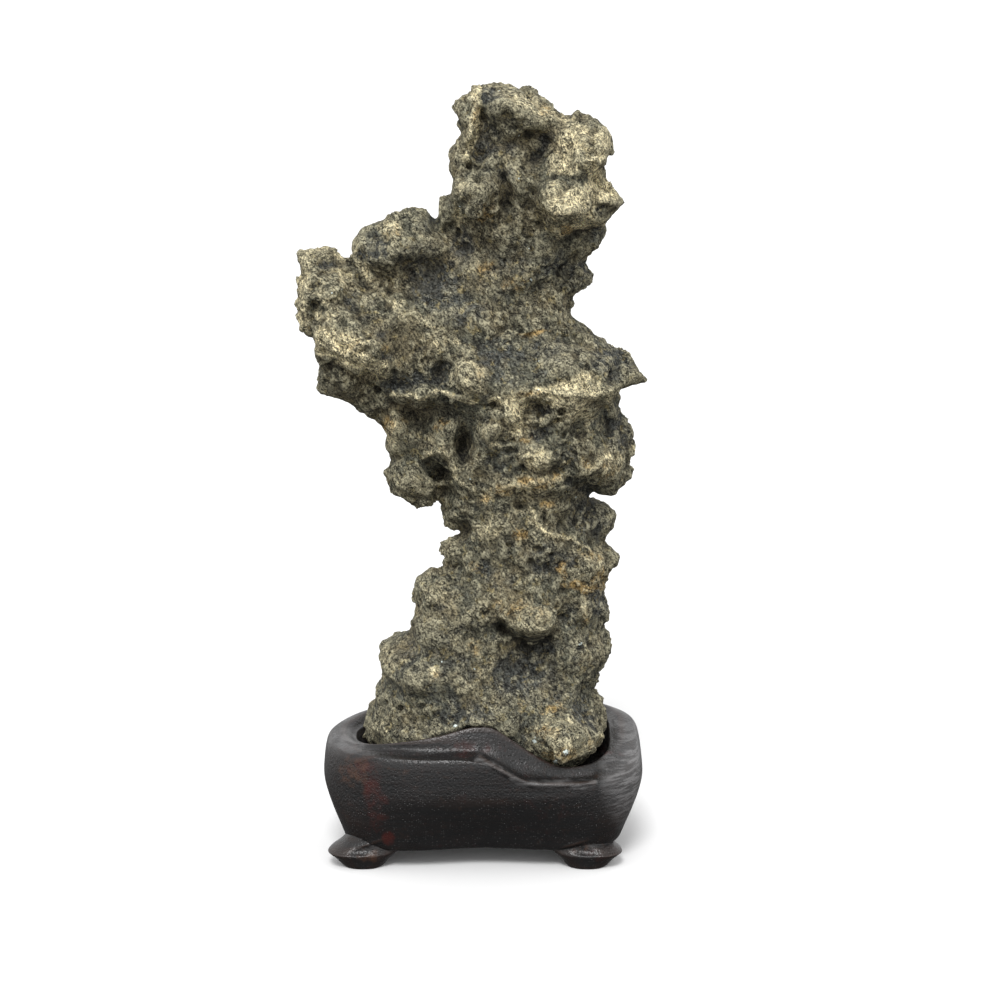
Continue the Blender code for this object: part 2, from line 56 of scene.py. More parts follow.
# As in the frame's source, but for LEFT_BULGE, BACK_RIGHT_CUT, how crisply the crest is cut, the feet's
# sections and squareness, and all of the carving, which are the scene's own.
STAND_CENTRE = (5.5, -4.0)
STAND_HALF = (57.5, 38.5)
LEFT_BULGE = (195, 70, 0.024)  # the left wall's swelling: direction, spread in degrees, and share
STAND_SQUARENESS = 3.0
BACK_LEFT_CUT = (145, 38, 0.18)  # the back corners' trimming, given the same way
BACK_RIGHT_CUT = (42, 34, 0.07)
UNDERSIDE = 7.0
SHOULDER = 28.0
RIM_WIDTH = 12.5
SOCKET_FLOOR = 30.0
SOCKET_ROUND = 1.0
CAP_SHARE = 0.5
REST_GAP = 0.3            # least gap between the rock and the stand

# By direction in degrees: crest, crown, lip, and how crisply the crest is cut, from 0 to 1.
RIM_STATIONS = [
    (0, 42.5, 1.2, 42, 0), (15, 44, 1.3, 44, 0), (90, 45, 1.2, 45, 0), (150, 44.5, 1.2, 44, 0),
    (185, 43.5, 1.2, 42.5, 0), (205, 43, 0.5, 44, 0.1), (225, 43.3, -1.5, 47, 0.2),
    (240, 43.3, -2.4, 49, 0.3), (257, 43.5, -2.6, 51.5, 0.5), (268, 42.5, -2.4, 52, 0.8),
    (278, 40.2, -2.2, 51, 1), (290, 36, -2, 47, 1), (302, 34.2, -1.6, 42, 1), (314, 33.5, -1, 37.5, 0.9),
    (326, 34.5, -0.4, 37, 0.5), (340, 38, 0.3, 39, 0.1), (360, 42.5, 1.2, 42, 0),
]
# The wall from the underside up: inset, height, and squareness of the plan.
WALL_PROFILE = [
    (12, UNDERSIDE, 4.4), (10.6, 7.0, 4.4), (9, 7.4, 4.4), (7.8, 9, 4.4), (6.2, 13, 4.4), (3.8, 18, 4),
    (1.5, 23, 3.4), (0, SHOULDER, STAND_SQUARENESS),
]
# The way up to the crest, where it is cut softly and crisply: inset, and share of the rise.
SOFT_SHOULDER = [(0.2, 0.4), (1, 0.74), (2.2, 0.93), (3.8, 1)]
CRISP_SHOULDER = [(0.1, 0.5), (0.35, 0.86), (0.7, 0.99), (1.5, 0.98)]
CROWN_INSET = 7.6
# The rim's inner edge: distance from the socket's wall, and drop below the lip.
LIP_PROFILE = [(1.7, 0), (0.4, 0.4), (0, 1.5)]

FEET = {
    "front_left": (-37, -27, -0.85, -0.5), "front_right": (41, -27, 0.85, -0.5),
    "back_left": (-26, 19, -0.7, 0.6), "back_right": (43, 19, 0.85, 0.5),
}
# Each section of a foot: height, reach outward and inward from its middle, half depth, and how pointed it is.
FOOT_SECTIONS = [
    (0, 8.2, 5.8, 8, 0.05), (0.6, 9, 6.6, 8.6, 0.06), (3, 10.9, 8.6, 9.2, 0.1),
    (4.8, 12.4, 10.6, 9.7, 0.16), (5.5, 12.6, 11.4, 9.7, 0.18), (6.2, 11.8, 12, 9.4, 0.15),
    (7.4, 10, 12.4, 9, 0.1), (8.8, 8.4, 12.2, 8.6, 0), (10.5, 7, 11.6, 8, 0), (13, 5, 10.6, 7.2, 0),
    (16, 3, 9, 6.4, 0),
]
FOOT_SQUARENESS = 2.4
FOOT_POINT = 5            # how narrow the point is
# The crest's bead and the groove above it: points of the line (U, V), half width and push.
STAND_LINES = [
    ([(-7.2, -92.5), (-1.8, -96.1), (5.4, -100.4), (12.6, -102.6), (23.4, -102.4), (34, -101.8)], 1.1, 0.5),
    ([(-6.4, -90), (-0.8, -93.6), (6.4, -97.8), (13, -99.8), (23.4, -99.8), (33, -99)], 1.4, -0.5),
    ([(-50, -88.5), (-36, -88.8), (-22, -89.5), (-10, -90)], 1.6, -0.5),
]
# Carving on the front of the stand: U, V, half width, half height, lean if it has one, and push.
STAND_FORMS = [
    (-50, -126.5, 4.5, 1.8, 12, -0.7), (-46, -123.5, 6, 0.7, 20, 0.4), (30.5, -126.5, 5.5, 1.8, -8, -0.7),
    (27, -123.8, 6, 0.7, 15, 0.4), (-38, -89.5, 14, 1.3, -3, -0.7), (-48, -93, 6, 1.6, 10, 0.4),
]

STAND_SEGMENTS = 400
STAND_STEPS = 6           # rows between two rows of a profile
FOOT_SEGMENTS = 72
CARVING_WAVES = (26, 0.25)  # length and height of the uneven surface that hand carving leaves
CARVING_FOOT = (0.5, 3)   # heights over the table between which the carving fades in
STAND_CREASE = math.radians(50)  # edges sharper than this stay sharp

# ---------------------------------------------------------------- the rock's relief

BASE_VOXEL = 1.0
BASE_ROUNDS = 6           # rounds of smoothing after the first remesh
FINE_VOXEL = 0.72
FINE_ROUNDS = 1
ROCK_TRIANGLES = 196000
FOOT_TOP = 60             # the rock is kept clear of the stand below this height

# Worked along the surface's normal, each with its size and height. Folds are rounded swellings with a sharp
# crease between them, and crests are the same turned inside out. Facets have a size and a slope.
COARSE_FOLDS = [(23, 1.6)]
COARSE_CRESTS = [(15, 1.0)]
COARSE_FACETS = [(13, 0.24), (6.5, 0.22)]
KNOBS = (8, 0.5)
KNOB_LEVEL = 0.42
POCKETS = (8.5, 2.6)
# A pocket or pit: distances from its cell's centre at which it starts and is full, then the own numbers of
# the cells that have one.
POCKET_EDGE, POCKET_CELLS = (0.45, 0.1), (0.86, 0.97)
PIT_EDGE, PIT_CELLS = (0.4, 0.1), (0.68, 0.9)
FINE_FACETS = [(3.2, 0.3)]
FINE_FOLDS = [(3.8, 0.4)]
FINE_CRESTS = [(2.6, 0.4)]
PITS = (2.8, 1.5)
GRAIN = (1.6, 0.3)
CELL_SPREAD = 7.31             # spreads neighbouring cells' own numbers apart
FACET_EDGE = 0.1               # width of the break between two facets
SMOOTHING = 0.85               # share of the fine relief that a smooth patch loses
HALF = Vector((0.5, 0.5, 0.5))
CRAGS = (16, 0.4, 1.1)         # size of the rough and smooth areas, and the share of the relief each keeps
WARP = [(7, 1.6), (2.6, 0.9)]  # how raggedly the front's features are drawn: size and shift

SHIFT_REACH = 1.5         # how much wider a shift of the outline is spread than its half sizes
# Shifts of the front's outline: U, V, half width, half height, and shift along U and V.
OUTLINE_SHIFTS = [
    (0, 149, 12, 5, 0, -1.4), (15.2, 147.4, 9, 6, -1.6, -2.4), (24, 140, 4, 4, -0.5, -1.4),
    (32.2, 138, 4, 4, 0.5, 1.8), (37.4, 134, 4, 4, -1.6, -1), (39, 122, 3, 4, 1, 0),
    (-15, 142.3, 4, 5, -1.6, 0.8), (-15.4, 134.5, 3, 5, 2.2, 0), (43.3, 113.5, 5.5, 4.5, -1.8, -3.4),
    (38.9, 100, 4, 5, 1, 0), (33.7, 85.4, 4.5, 8, -2.4, 0), (25.9, 70, 4, 5, -1.2, 0),
    (37.4, 58, 10, 5, 0, -0.6), (-22.2, 102, 2.6, 3.4, 0, -5), (-17, 115, 3, 6, -1.2, 0),
    (-30, 104, 8, 4, 0, 0.8), (-50, 96, 5, 5, -0.6, 0.8), (-69.6, 89.9, 5, 4.5, -2.4, 1.6),
    (-64, 92, 6, 4, 0, -1.6), (-74, 79, 3, 5, 2, 0), (-74.6, 64.8, 3, 4, 1.4, 0),
    (-73.3, 70, 3, 4, -1.2, 0), (-63, 41.2, 5, 6, -2.6, -1.6), (-66, 46, 3, 4, 1.2, 0),
    (-43.8, 24, 4, 5, 1, 0), (-32, -0.5, 10, 6, 0, 2), (-40.5, 9, 3, 6, 0.6, 0), (-15, -10.5, 3, 3, 4, 0),
    (-19.4, 1.5, 3.5, 3, 1, 2.2), (-21, -4.6, 3, 4, 2.2, 0), (-22, -20.4, 3.5, 3.5, 1.4, 0),
    (-17, -25.5, 3, 2.5, 2.5, 1.6), (-27.5, -25.2, 8, 3, 0, -0.4), (-32, -35, 3, 4, 1.2, 0),
    (-36, -46, 5, 3, 0, 1), (-44.5, -66.6, 3, 5, 0.6, 0), (49.2, 22, 3.5, 5, -1.6, 0),
    (49.2, 9.4, 3, 4, -1.6, 0), (38.9, -4.6, 4, 6, 2.4, 0), (41, -15.5, 4, 3, -1, -0.4),
    (39.6, -32.6, 3, 5, -1.6, 0), (38.9, -45, 3, 8, 1, 0), (36.5, -62, 4, 7, 1, 0),
    (37.4, -69.5, 3, 4, -1.6, 0),
]

# Larger hollows and swellings of the front: U, V, half width, half height, lean if it has one, and push
# towards the viewer.
FRONT_FORMS = [
    (-4, 145.5, 3.6, 2.2, -1.8), (-4, 134.5, 5, 4.5, -1.6), (-6, 126, 6.5, 5.5, 0.4), (-8, 126, 3, 3.4, 2),
    (-5.6, 138, 2.6, 3, 1.6), (10, 131.4, 3, 2, -2.2), (5, 125.3, 4, 3.2, 1.4), (-8, 110, 7.5, 11, 1.4),
    (20, 109.8, 4.5, 4, -0.6), (24, 112, 2, 3.2, -0.6), (29, 116, 4, 3.5, 1.8),
    (15, 128.6, 3.4, 4, -30, 1.8), (25.5, 108, 4, 5, 1.6), (25, 119.5, 10, 5.5, 3.6),
    (19.4, 122.4, 6, 6, 2), (34, 118.5, 5, 4.5, 4), (24.5, 99, 9, 5.5, 3.2), (32, 102, 9, 4, -10, 3.2),
    (19, 103, 6, 5, 2.4), (26, 123, 3, 2, -40, -1.4), (31, 121, 5, 5, 3), (12, 111.5, 3, 3, -1.6),
    (35, 105, 5, 4, 0.8), (26, 104, 6, 4, 1), (-13, 92, 4, 6, -2), (36, 94, 4, 5, 0.8),
    (30, 81, 4.5, 5, 0.8), (17, 87, 2, 2, -1.4), (-45.5, 94.5, 4.5, 3.5, 20, -1.8),
    (-26, 101.5, 2.6, 3, -1.6), (-47, 88, 5, 5, -0.8), (-36, 85.5, 4, 4, 1), (-34, 81, 3, 2.5, -1.4),
    (-62, 85, 4.5, 2.4, -10, -1.8), (-54, 46, 14, 7, -25, 3.6), (-55, 43, 9, 4, -20, 3),
    (-56, 45, 12, 5, -25, 2), (-55, 65, 3.4, 1.2, 25, -1.8), (-52, 68, 3, 3, -1.2), (-56, 74, 4, 3, -1),
    (-42, 59, 3, 3, -1.6), (-42, 52, 4, 3, -1.4), (-22, 45, 4.5, 5, -4), (-34, 42, 9, 3.6, 10, -1.2),
    (-11, 43, 7, 8.5, 0.8), (-50, 43, 2.4, 2, -1.6), (-35, 77, 14, 5, -46, -1),
    (-46, 43.5, 10, 4.5, -25, 2.6), (-35, 60, 8, 6, -30, 1), (11.5, 59.8, 4.4, 1.2, 20, -1.6),
    (7.5, 39.5, 8, 2, 3, 1.8), (21, 38.5, 8, 2, -5, 2.2), (36, 38, 8, 1.8, 8, 1.6),
    (-1, 33.2, 3, 1.2, -20, -3.6), (14, 33, 4.4, 2.6, -3.2), (5, 30, 3.6, 5, 20, 1.8), (24, 36, 5, 5, 1.4),
    (5, 52, 9, 4, -1), (12, 72, 12, 6, -10, -1), (22, 31.6, 1.8, 1.2, -2.4), (33, 29, 4, 6, 1.2),
    (38.5, 26, 1.3, 5, -3.4), (-24, 29.5, 14, 7, -3.8), (-13, 19, 3.4, 6.6, -6.5),
    (-20.5, 10.8, 3.6, 4.4, -4.4), (-4, 25, 4.2, 3.6, 2), (-37, 8.6, 2.2, 1.6, -2.2),
    (13, 14.6, 6.4, 4.4, 2.4), (15, 24, 5.5, 2.6, 20, -2), (25, 17, 4, 4, -1.2), (38, 14, 5, 5, 1.4),
    (43, 27, 4, 8, 0.8), (8, 5.5, 14, 3.4, 8, 2), (0, 14, 6, 5, -1), (-36, 26, 6, 5, 0.8),
    (7.6, -2.2, 2.2, 1.9, -4), (33, -6, 6.5, 7, 1.4), (16.4, -6, 1.3, 2.2, -2.6),
    (22, -8.6, 1.8, 1.3, -2.2), (-17, -3, 4.5, 5, 1.4), (-16.5, -19.5, 4.5, 4.5, 1.4), (-5, -11.5, 5, 4, 1),
    (35, -23, 5, 6, 1.2), (-6, -25, 4.5, 3.5, -1), (13, -24, 6, 5, -0.6), (1.6, -46, 2.2, 3, -3.6),
    (12, -52, 9, 4, -3.2), (9, -59, 10, 7, -2.4), (9, -41, 13, 7, -2), (-22, -34, 9, 7, 1),
    (35, -37, 4.5, 5, 0.8), (24, -42, 3.4, 6, -1.6), (30, -55, 6, 6, 0.8), (20, -86, 9, 8, -30, 1.8),
    (29, -79, 4, 6, 35, -1), (-12, -76, 10, 4, -0.8), (-44, -82, 4, 2.5, -20, 0.8), (-31, -66, 13, 4, 2.6),
    (-32, -69, 15, 3.6, 4, 2.4), (-14, -67, 8, 4, 2.2), (-31, -73.5, 17, 5.5, 4, 3.6),
    (-30, -57, 14, 6, -2.4), (-33, -70, 13, 3.4, 4, 1.2), (-22, -45, 10, 3.4, 1.4), (24, -70, 7, 4, 1.2),
]
PATCH_REACH = 1.5         # square of how many half sizes a patch or a line reaches
LINE_STEPS = 4            # straight parts between two points of a line
# Ridges and creases of the front: points of the line (U, V), half width, push, and paleness (painted shade
# along a crease where it is below 0).
FRONT_LINES = [
    ([(-8.5, 148), (-8.6, 140), (-9.2, 134), (-11, 129), (-12.5, 123)], 1.8, 2.2, 0.9),
    ([(10.5, 121), (14, 124.5), (17, 130), (20, 136)], 3.4, -1.5, -0.45),
    ([(-8, 131.5), (-3, 132), (2, 133), (8, 134.5)], 1.1, -1.6, -0.6),
    ([(-11.5, 120.3), (-7, 120), (-3.5, 118.6), (-0.5, 119.2)], 0.9, -1.8, -0.7),
    ([(-0.8, 117), (-0.8, 110), (-0.4, 104)], 1.1, 1.1, 0.1),
    ([(1.6, 120), (2.6, 115), (3, 109), (2, 103.5), (4, 99)], 2.2, -2, -0.5),
    ([(16.2, 106), (16.6, 111), (18, 113.6), (22, 113.4)], 1.1, 1.3, 0.5),
    ([(37.8, 133), (36.4, 127), (33.8, 121), (33, 116), (32, 111)], 1.8, 1.2, 1),
    ([(42.5, 105.6), (40, 104.6), (37, 106)], 0.8, -0.6, -0.4),
    ([(38, 100.5), (33, 99.5), (28, 97.5), (24, 96), (21, 96)], 1.3, 1.4, 0.6),
    ([(21, 93.3), (26, 94.2), (31, 97.2), (34, 98.2)], 1.2, -2, -0.7),
    ([(30, 90), (26, 88.6), (22, 83), (20, 76)], 1.1, -1.6, -0.6),
    ([(-15.5, 108), (-17, 103.5), (-15, 99.5)], 0.8, 1, 0.6),
    ([(-71, 90), (-66, 89.5), (-62, 91), (-58, 89)], 1.2, 1.2, 0.5),
    ([(-53.5, 89.5), (-50.5, 84), (-47, 78.5), (-43, 74), (-37, 70), (-31, 67), (-27, 63), (-20, 60),
      (-16, 56), (-10, 52)], 2.2, 1.5, 0.35),
    ([(-50, 79.5), (-46.5, 76.3), (-42, 75.5), (-38, 75)], 1.2, -2, -0.7),
    ([(-31, 98.5), (-26, 95), (-21.5, 91)], 0.9, 1.2, 0.4),
    ([(-34, 84), (-29, 78), (-22, 73)], 1.6, -1, -0.4),
    ([(-60, 49), (-59.6, 45), (-57, 41)], 1.1, -2.6, -0.8),
    ([(-38, 38.2), (-34, 37.2), (-31, 38), (-28, 36.6), (-24, 38.6), (-20, 38.4), (-17, 36.8),
      (-10, 34.6)], 0.8, 1, 0.8),
    ([(-18, 50), (-17.4, 45), (-17.6, 40.5)], 1, 1, 0.3),
    ([(-3.5, 35.2), (-1, 36), (2, 35), (3, 31), (4, 26)], 1.1, 1.4, 0.8),
    ([(9, 27), (13, 28.6), (18, 30.2), (22, 29)], 1, 1.3, 0.3),
    ([(23, 57), (27, 52), (31, 47), (34, 43.5)], 1.1, -1.6, -0.5),
    ([(-7, 24), (-3.5, 21), (0.5, 19.4)], 0.8, 0.9, 0.7),
    ([(-27, 16.2), (-22, 17.6), (-19, 14), (-17, 11), (-14, 7), (-10, 3.4)], 1.1, 2.2, 0.6),
    ([(7.5, 12.5), (10, 10.2), (15, 9.6), (20, 11)], 1, -1.8, -0.6),
    ([(21, 10), (22, 15), (20, 19)], 1, -1.2, -0.4),
    ([(11, -3), (13.6, -6), (15.6, -10.6), (22, -13), (28, -15), (32.5, -18.5)], 0.9, 1.6, 0.8),
    ([(-13, -8), (-12, -13)], 1.4, -1.6, -0.5),
    ([(24, 1), (27, -2), (26.5, -7), (29, -11.5)], 1, -1.5, -0.5),
    ([(22, -27.5), (28, -30.4), (34, -32), (38, -31)], 0.9, 1.2, 0.3),
    ([(37.5, -15), (39, -20), (38.4, -26)], 1, -1.6, -0.5),
    ([(0, -45.6), (5.5, -49), (11, -51.2), (16.5, -50.8), (20.5, -47.6)], 2, -3, -0.8),
    ([(1, -42), (6, -45.6), (11, -47.6), (16, -47), (20, -44)], 1.4, 1.4, 0.4),
    ([(19, -48), (20.5, -55), (22, -62)], 1, 1, 0),
    ([(-1, -50), (-3, -58), (-8, -65), (-13, -69)], 1.8, 1.2, 0.2),
    ([(24.5, -77), (29, -82), (34.5, -87.6)], 1, 1.2, 0.4),
    ([(28, -41), (30.5, -36), (29, -31)], 1, 0.8, 0.4),
]
# Small holes of the front: U, V, radius and depth.
FRONT_HOLES = [
    (-11, 120.2, 1.1, 2.6), (-8.3, 120.2, 1.2, 2.8), (-7.6, 116, 1.9, 3), (19, 116.3, 1.2, 1),
    (24, 112, 1.2, 1), (-67.7, 69, 1.4, 2.6), (-53.6, 77, 1.6, 2), (22, 31.7, 1.5, 2.6),
    (14, -18.2, 1.7, 2.2), (18.7, -20, 1.3, 2.2), (4, -16, 1.1, 1.6), (-15.5, -20, 1.2, 1.6),
    (-36.4, -75.2, 1.6, 2), (-41.4, -73, 1.3, 1.8), (-27.7, -74.5, 1.4, 1.8), (29, -53.3, 1.3, 2.2),
    (32.8, -52.6, 1.3, 2.2), (-38, 46, 1.3, 1.6), (-33, 41, 1.4, 1.6), (-28, 50, 1.2, 1.6),
    (-44, 40, 1.5, 1.8), (31, 41, 1.1, 1.4), (26, 24, 1.2, 1.8), (35, 20, 1.3, 1.8), (-1, 1, 1.3, 1.6),
    (17, 141, 1.3, 1.5), (31, 121, 1.4, 1.5), (-56, 64, 1.7, 1.8), (-48, 58, 1.3, 1.5),
]

# Where the front's stone is coloured apart from the rest: U, V, half width, half height, lean if it has
# one, and strength.
CREAM_PATCHES = [
    (37, 128, 3.4, 7, 1), (33.5, 119, 3, 6, 15, 1), (38, 111, 6, 5, -20, 0.9), (29, 106, 7, 6, 0.9),
    (20, 109.5, 5, 4.4, 0.6), (26, 109, 5, 5, 0.7), (20, 104, 6, 4, 0.6), (30, 100, 6, 3, 15, 1),
    (22, 97, 4, 3, 0.6), (26, 130, 8, 7, 0.65), (24, 121, 7, 5, 0.65), (-8.8, 142, 1.6, 7, 0.7),
    (8, 144, 10, 5, -15, 0.5), (16, 139, 3, 4, -30, 0.7), (22, 137, 4, 2, -20, 0.5), (-14, 113, 3, 3, 0.5),
    (-15, 102, 2, 4, 0.5), (-71, 80, 3, 10, 0.6), (-71, 67, 3, 8, 0.7), (-62, 57, 6, 6, 1),
    (-56, 55, 7, 6, 1), (-51, 50, 8, 5, -20, 1), (-45, 46.5, 5, 4, -30, 0.9), (-56, 79, 6, 3, -35, 0.5),
    (-58, 88, 4, 2, 0.5), (-63, 74, 6, 5, 0.4), (-62, 66, 6, 4, 0.4), (-70, 88, 4, 4, 0.5),
    (-39, 97, 4.5, 4, 0.6), (-46, 57, 3, 3, 0.4), (-34, 66, 5, 3, -30, 0.5), (-36, 49, 4, 2, 0.3),
    (-24, 57, 5, 3, -10, 0.4), (-11, 43, 6, 8, 0.5), (8, 36, 8, 4, 0.75), (23, 38, 8, 5, 10, 1),
    (15, 38.4, 7, 3, 0.9), (33, 39, 8, 3.4, 0.9), (30, 43, 6, 4, 30, 0.7), (28, 32, 5, 5, 0.6),
    (40, 38, 8, 1.6, 8, 0.7), (5, 29, 3.6, 6, 20, 0.85), (-4, 25, 4.4, 3.6, 0.55), (33, 30, 4, 5, 0.35),
    (13, 14.5, 6.8, 4.8, 0.95), (39, 14, 4.6, 6, 0.6), (33, 12, 5, 4, 0.4), (-16, 11, 2.4, 5, 35, 0.5),
    (10, 5.5, 14, 3.4, 8, 0.55), (-5, 1.5, 4, 3, 0.6), (7.5, -2.2, 3.6, 3.2, 0.35), (-5, -11.5, 6, 4, 0.5),
    (14, -9, 4, 5, 30, 0.4), (35, -23, 5, 7, 0.45), (-23, -33, 6, 5, 0.4), (8, -38, 11, 5, 0.2),
    (10, -44, 9, 3.4, 0.2), (31, -41, 2.4, 4, 0.5), (-9, -54, 4, 4, 0.45), (-23, -62.5, 3, 2.4, 0.6),
    (19, -80, 8, 7, -30, 0.35), (24, -90, 9, 5, 10, 0.5), (-25, 22, 8, 4, 0.3), (-41, -60, 3, 10, 0.3),
    (-42, -80, 5, 4, 0.3), (-39, 23, 4, 5, 0.5),
]
OCHRE_PATCHES = [
    (-8.8, 139, 1.4, 6, 0.5), (15.5, 139.5, 2.4, 2.6, -30, 0.7), (25, 97, 3.6, 2, 0.9),
    (22, 103, 5, 2, 0.4), (-6, 103, 4, 3, 0.5), (-5, 83, 5, 4, 0.4), (5, 78, 6, 4, 0.35),
    (12, 60.2, 6, 1.4, 12, 0.8), (9.5, 38.3, 6, 1.3, 5, 1), (-8, 45, 2.4, 3, 0.5), (-55, 56, 6, 4, 0.35),
    (-41, 55, 2, 1.2, 20, 0.6), (-39, 96, 3, 3, 0.4), (-40, 27, 3.4, 3, 0.7), (-36, 27, 4, 3, 0.4),
    (-20, 27, 4, 2, 0.5), (1, 4, 4, 2.4, 0.8), (9, 6.4, 4, 2, 10, 0.9), (15, 6, 3.4, 2.4, 0.8),
    (21, 8, 2.4, 2, 0.9), (-5, 1, 3, 2, 0.6), (17, -2, 3.4, 1.4, 0.9), (7, -13, 3.4, 3, 0.6),
    (9, 22, 4, 2, 0.4), (31, 13, 3, 3, 0.5), (39, 11, 4, 3, 0.5), (23, -25, 2.2, 3.4, 0.7),
    (34, -21, 5, 3, 0.5), (30, -31, 8, 1.8, -5, 0.9), (36, -27, 3, 4, 0.6), (5, -39, 8, 4, 0.4),
    (15, -41, 5, 3, 0.45), (31, -42, 1.6, 3, 0.6), (30, -58, 4, 3, 0.3), (-9, -53, 3, 3, 0.4),
    (-23, -63, 2.4, 2, 0.6), (19, -75, 5, 2, 0.5), (17, -84, 6, 4, 0.45), (23, -92, 7, 3, 0.6),
    (33, -88, 3, 3, 0.4), (7.5, -75.5, 1.6, 2, 0.5), (-9, -24, 3, 2, 0.4),
]
SLATE_PATCHES = [
    (-22, -60, 28, 26, 0.4), (14, -72, 20, 20, 0.35), (6, 82, 20, 16, 0.35), (-10, -84, 30, 9, 0.5),
    (-4, 145.5, 4, 2.6, 1), (-4, 135, 5, 5, 0.7), (-6, 126, 6, 6, 0.75), (5, 126, 5, 4, 0.6),
    (4, 118, 4, 4, 0.8), (15, 127, 3, 8, -32, 0.8), (24, 112, 1.6, 2.4, 0.5), (36, 104, 3.6, 2.2, 0.6),
    (36, 94, 4, 5, 1), (29, 81, 5, 7, 1), (20, 84, 7, 7, 0.6), (-13, 91, 5, 8, 1), (-46, 89, 6, 5, 1),
    (-45, 95, 3, 3, 0.7), (-26, 101, 3.6, 4, 1), (-30, 88, 9, 7, 0.7), (-22, 76, 12, 9, -35, 1),
    (-12, 68, 8, 6, 0.8), (-62, 85, 4, 2.4, 0.8), (-53, 72, 4, 5, 0.6), (-42, 59, 3.4, 3.4, 0.7),
    (-42, 51, 4, 3, 0.6), (-34, 42, 10, 4, 8, 1), (-22, 45, 5, 5.4, 1), (0, 52, 14, 6, 0.7),
    (18, 52, 12, 8, 0.6), (40, 50, 9, 8, -30, 0.9), (2, 44, 8, 3, 0.6), (14, 33, 4.6, 2.6, 0.9),
    (15, 24, 6, 3, 20, 0.8), (43, 26, 5, 10, 1), (25, 17, 4.4, 5, 0.6), (0, 14, 7, 6, 0.5),
    (31, 5, 9, 3, 0.7), (33, -5, 8, 9, 1), (17, -22, 9, 7, 0.8), (27, -23, 3, 4, 0.7), (-6, -25, 5, 4, 0.7),
    (36, -37, 5, 6, 1), (24, -42, 4, 6, 0.6), (12, -53, 9, 5, 0.9), (8, -62, 13, 9, 1),
    (30, -54, 8, 7, 0.6), (30, -78, 5, 9, 35, 0.9), (-12, -77, 14, 6, 0.8), (-21, -38, 4, 3, 0.5),
    (-32, -62, 4, 3, 0.4), (2, -30, 7, 4, 0.4), (40, 8, 4, 3, 0.4), (-20, -50, 5, 5, 0.5),
]
# Where the front is painted most shaded: painted shade in holes and recesses, and painted shadow under
# overhangs.
PAINTED_SHADE_PATCHES = [
    (10, 131.5, 3.4, 2, 0.9), (14, 126, 2.4, 6, -32, 0.4), (-13, 92, 3.6, 6, 0.6), (-22, 45, 4.4, 5, 0.8),
    (-24, 30, 15, 7, 0.4), (-12.6, 19, 3.4, 6.4, 0.9), (-20.5, 10.8, 3.6, 4.2, 0.8), (-17, 27, 6, 5, 0.4),
    (12, -51.5, 8.4, 3.4, 0.9), (1.6, -46, 2, 3, 0.9), (10, -58, 9, 6, 0.4), (-45.5, 95, 2, 1.4, 0.7),
    (20, 116, 1.8, 1.2, 0.7), (-30, 77, 5, 4, 0.4), (38.5, 26, 1.2, 5, 0.8), (7.5, -2, 1.7, 1.5, 0.9),
    (14, 33.6, 3, 1.4, 0.6), (42, 26, 4, 8, 0.4), (33, -6, 7, 8, 0.5), (-1, 33.2, 3, 1, -20, 0.9),
]
BACK_TINT = 0.5           # how strongly the hidden back is coloured
# Rounds of averaging that tell hollows from ridges, fine and broad on the rock, and on the stand.
FINE_SPREAD, BROAD_SPREAD, STAND_SPREAD = 5, 60, 6
# Where the front's stone is worn smooth.
SMOOTH_PATCHES = [
    (3, 127, 15, 8, 15, 1), (-18, 74, 18, 16, -20, 0.8), (8, 52, 24, 8, 0.8), (-21, 26, 15, 9, 0.8),
    (8, -62, 14, 14, 0.8), (-28, -62, 22, 22, 0.75), (-10, -84, 26, 10, 0.6), (-30, 66, 8, 8, 0.3),
    (5, -36, 22, 9, 0.5), (-8, -20, 12, 8, 0.4), (-49, 91, 5, 5, 0.8), (-26, 101, 5, 5, 0.8),
]
CRYSTAL_CORE = 0.7        # half width of a crystal's patch, as a share of its radius
# Bright crystals: U, V and radius.
CRYSTALS = [
    (-9.4, -62, 1.2), (-16.2, -81.4, 1.3), (12.6, -86.4, 1.2), (23.8, -90.7, 1.8), (19.8, -94.3, 1.3),
    (11.5, 79.5, 0.7), (31.8, 13.3, 0.6), (-26, 114, 0.5), (-1.5, -7, 0.5), (29, -52, 0.6),
]

# ---------------------------------------------------------------- small tools


def read(mesh, name):
    values = np.empty(len(mesh.vertices) * 3)
    mesh.vertices.foreach_get(name, values)
    return values.reshape(-1, 3)


def surface(mesh, unit=1):
    return read(mesh, "co") / unit, read(mesh, "normal")


def write_points(mesh, points):
    mesh.vertices.foreach_set("co", points.ravel())
    mesh.update()


def push_out(mesh, points, normals, push):
    write_points(mesh, points + normals * push[:, None] * MM)


def write_attribute(mesh, name, values):
    attribute = mesh.attributes.new(name, "FLOAT", "POINT")
    attribute.data.foreach_set("value", np.ascontiguousarray(values, dtype=np.float32))


def new_object(name, mesh):
    obj = bpy.data.objects.new(name, mesh)
    bpy.context.scene.collection.objects.link(obj)
    return obj


def bake_modifiers(obj):
    """Replaces the object's mesh with what its modifiers make of it."""
    graph = bpy.context.evaluated_depsgraph_get()
    mesh = bpy.data.meshes.new_from_object(obj.evaluated_get(graph))
    obj.modifiers.clear()
    obj.data = mesh


def remesh(obj, voxel, smoothing):
    skin = obj.modifiers.new("skin", "REMESH")
    skin.mode = "VOXEL"
    skin.voxel_size = voxel * MM
    if smoothing:
        soften = obj.modifiers.new("soften", "SMOOTH")
        soften.factor = 0.5
        soften.iterations = smoothing
    bake_modifiers(obj)


def thin_out(obj, triangles):
    count = sum(len(polygon.vertices) - 2 for polygon in obj.data.polygons)
    thin = obj.modifiers.new("thin out", "DECIMATE")
    thin.ratio = min(1, triangles / count)
    bake_modifiers(obj)


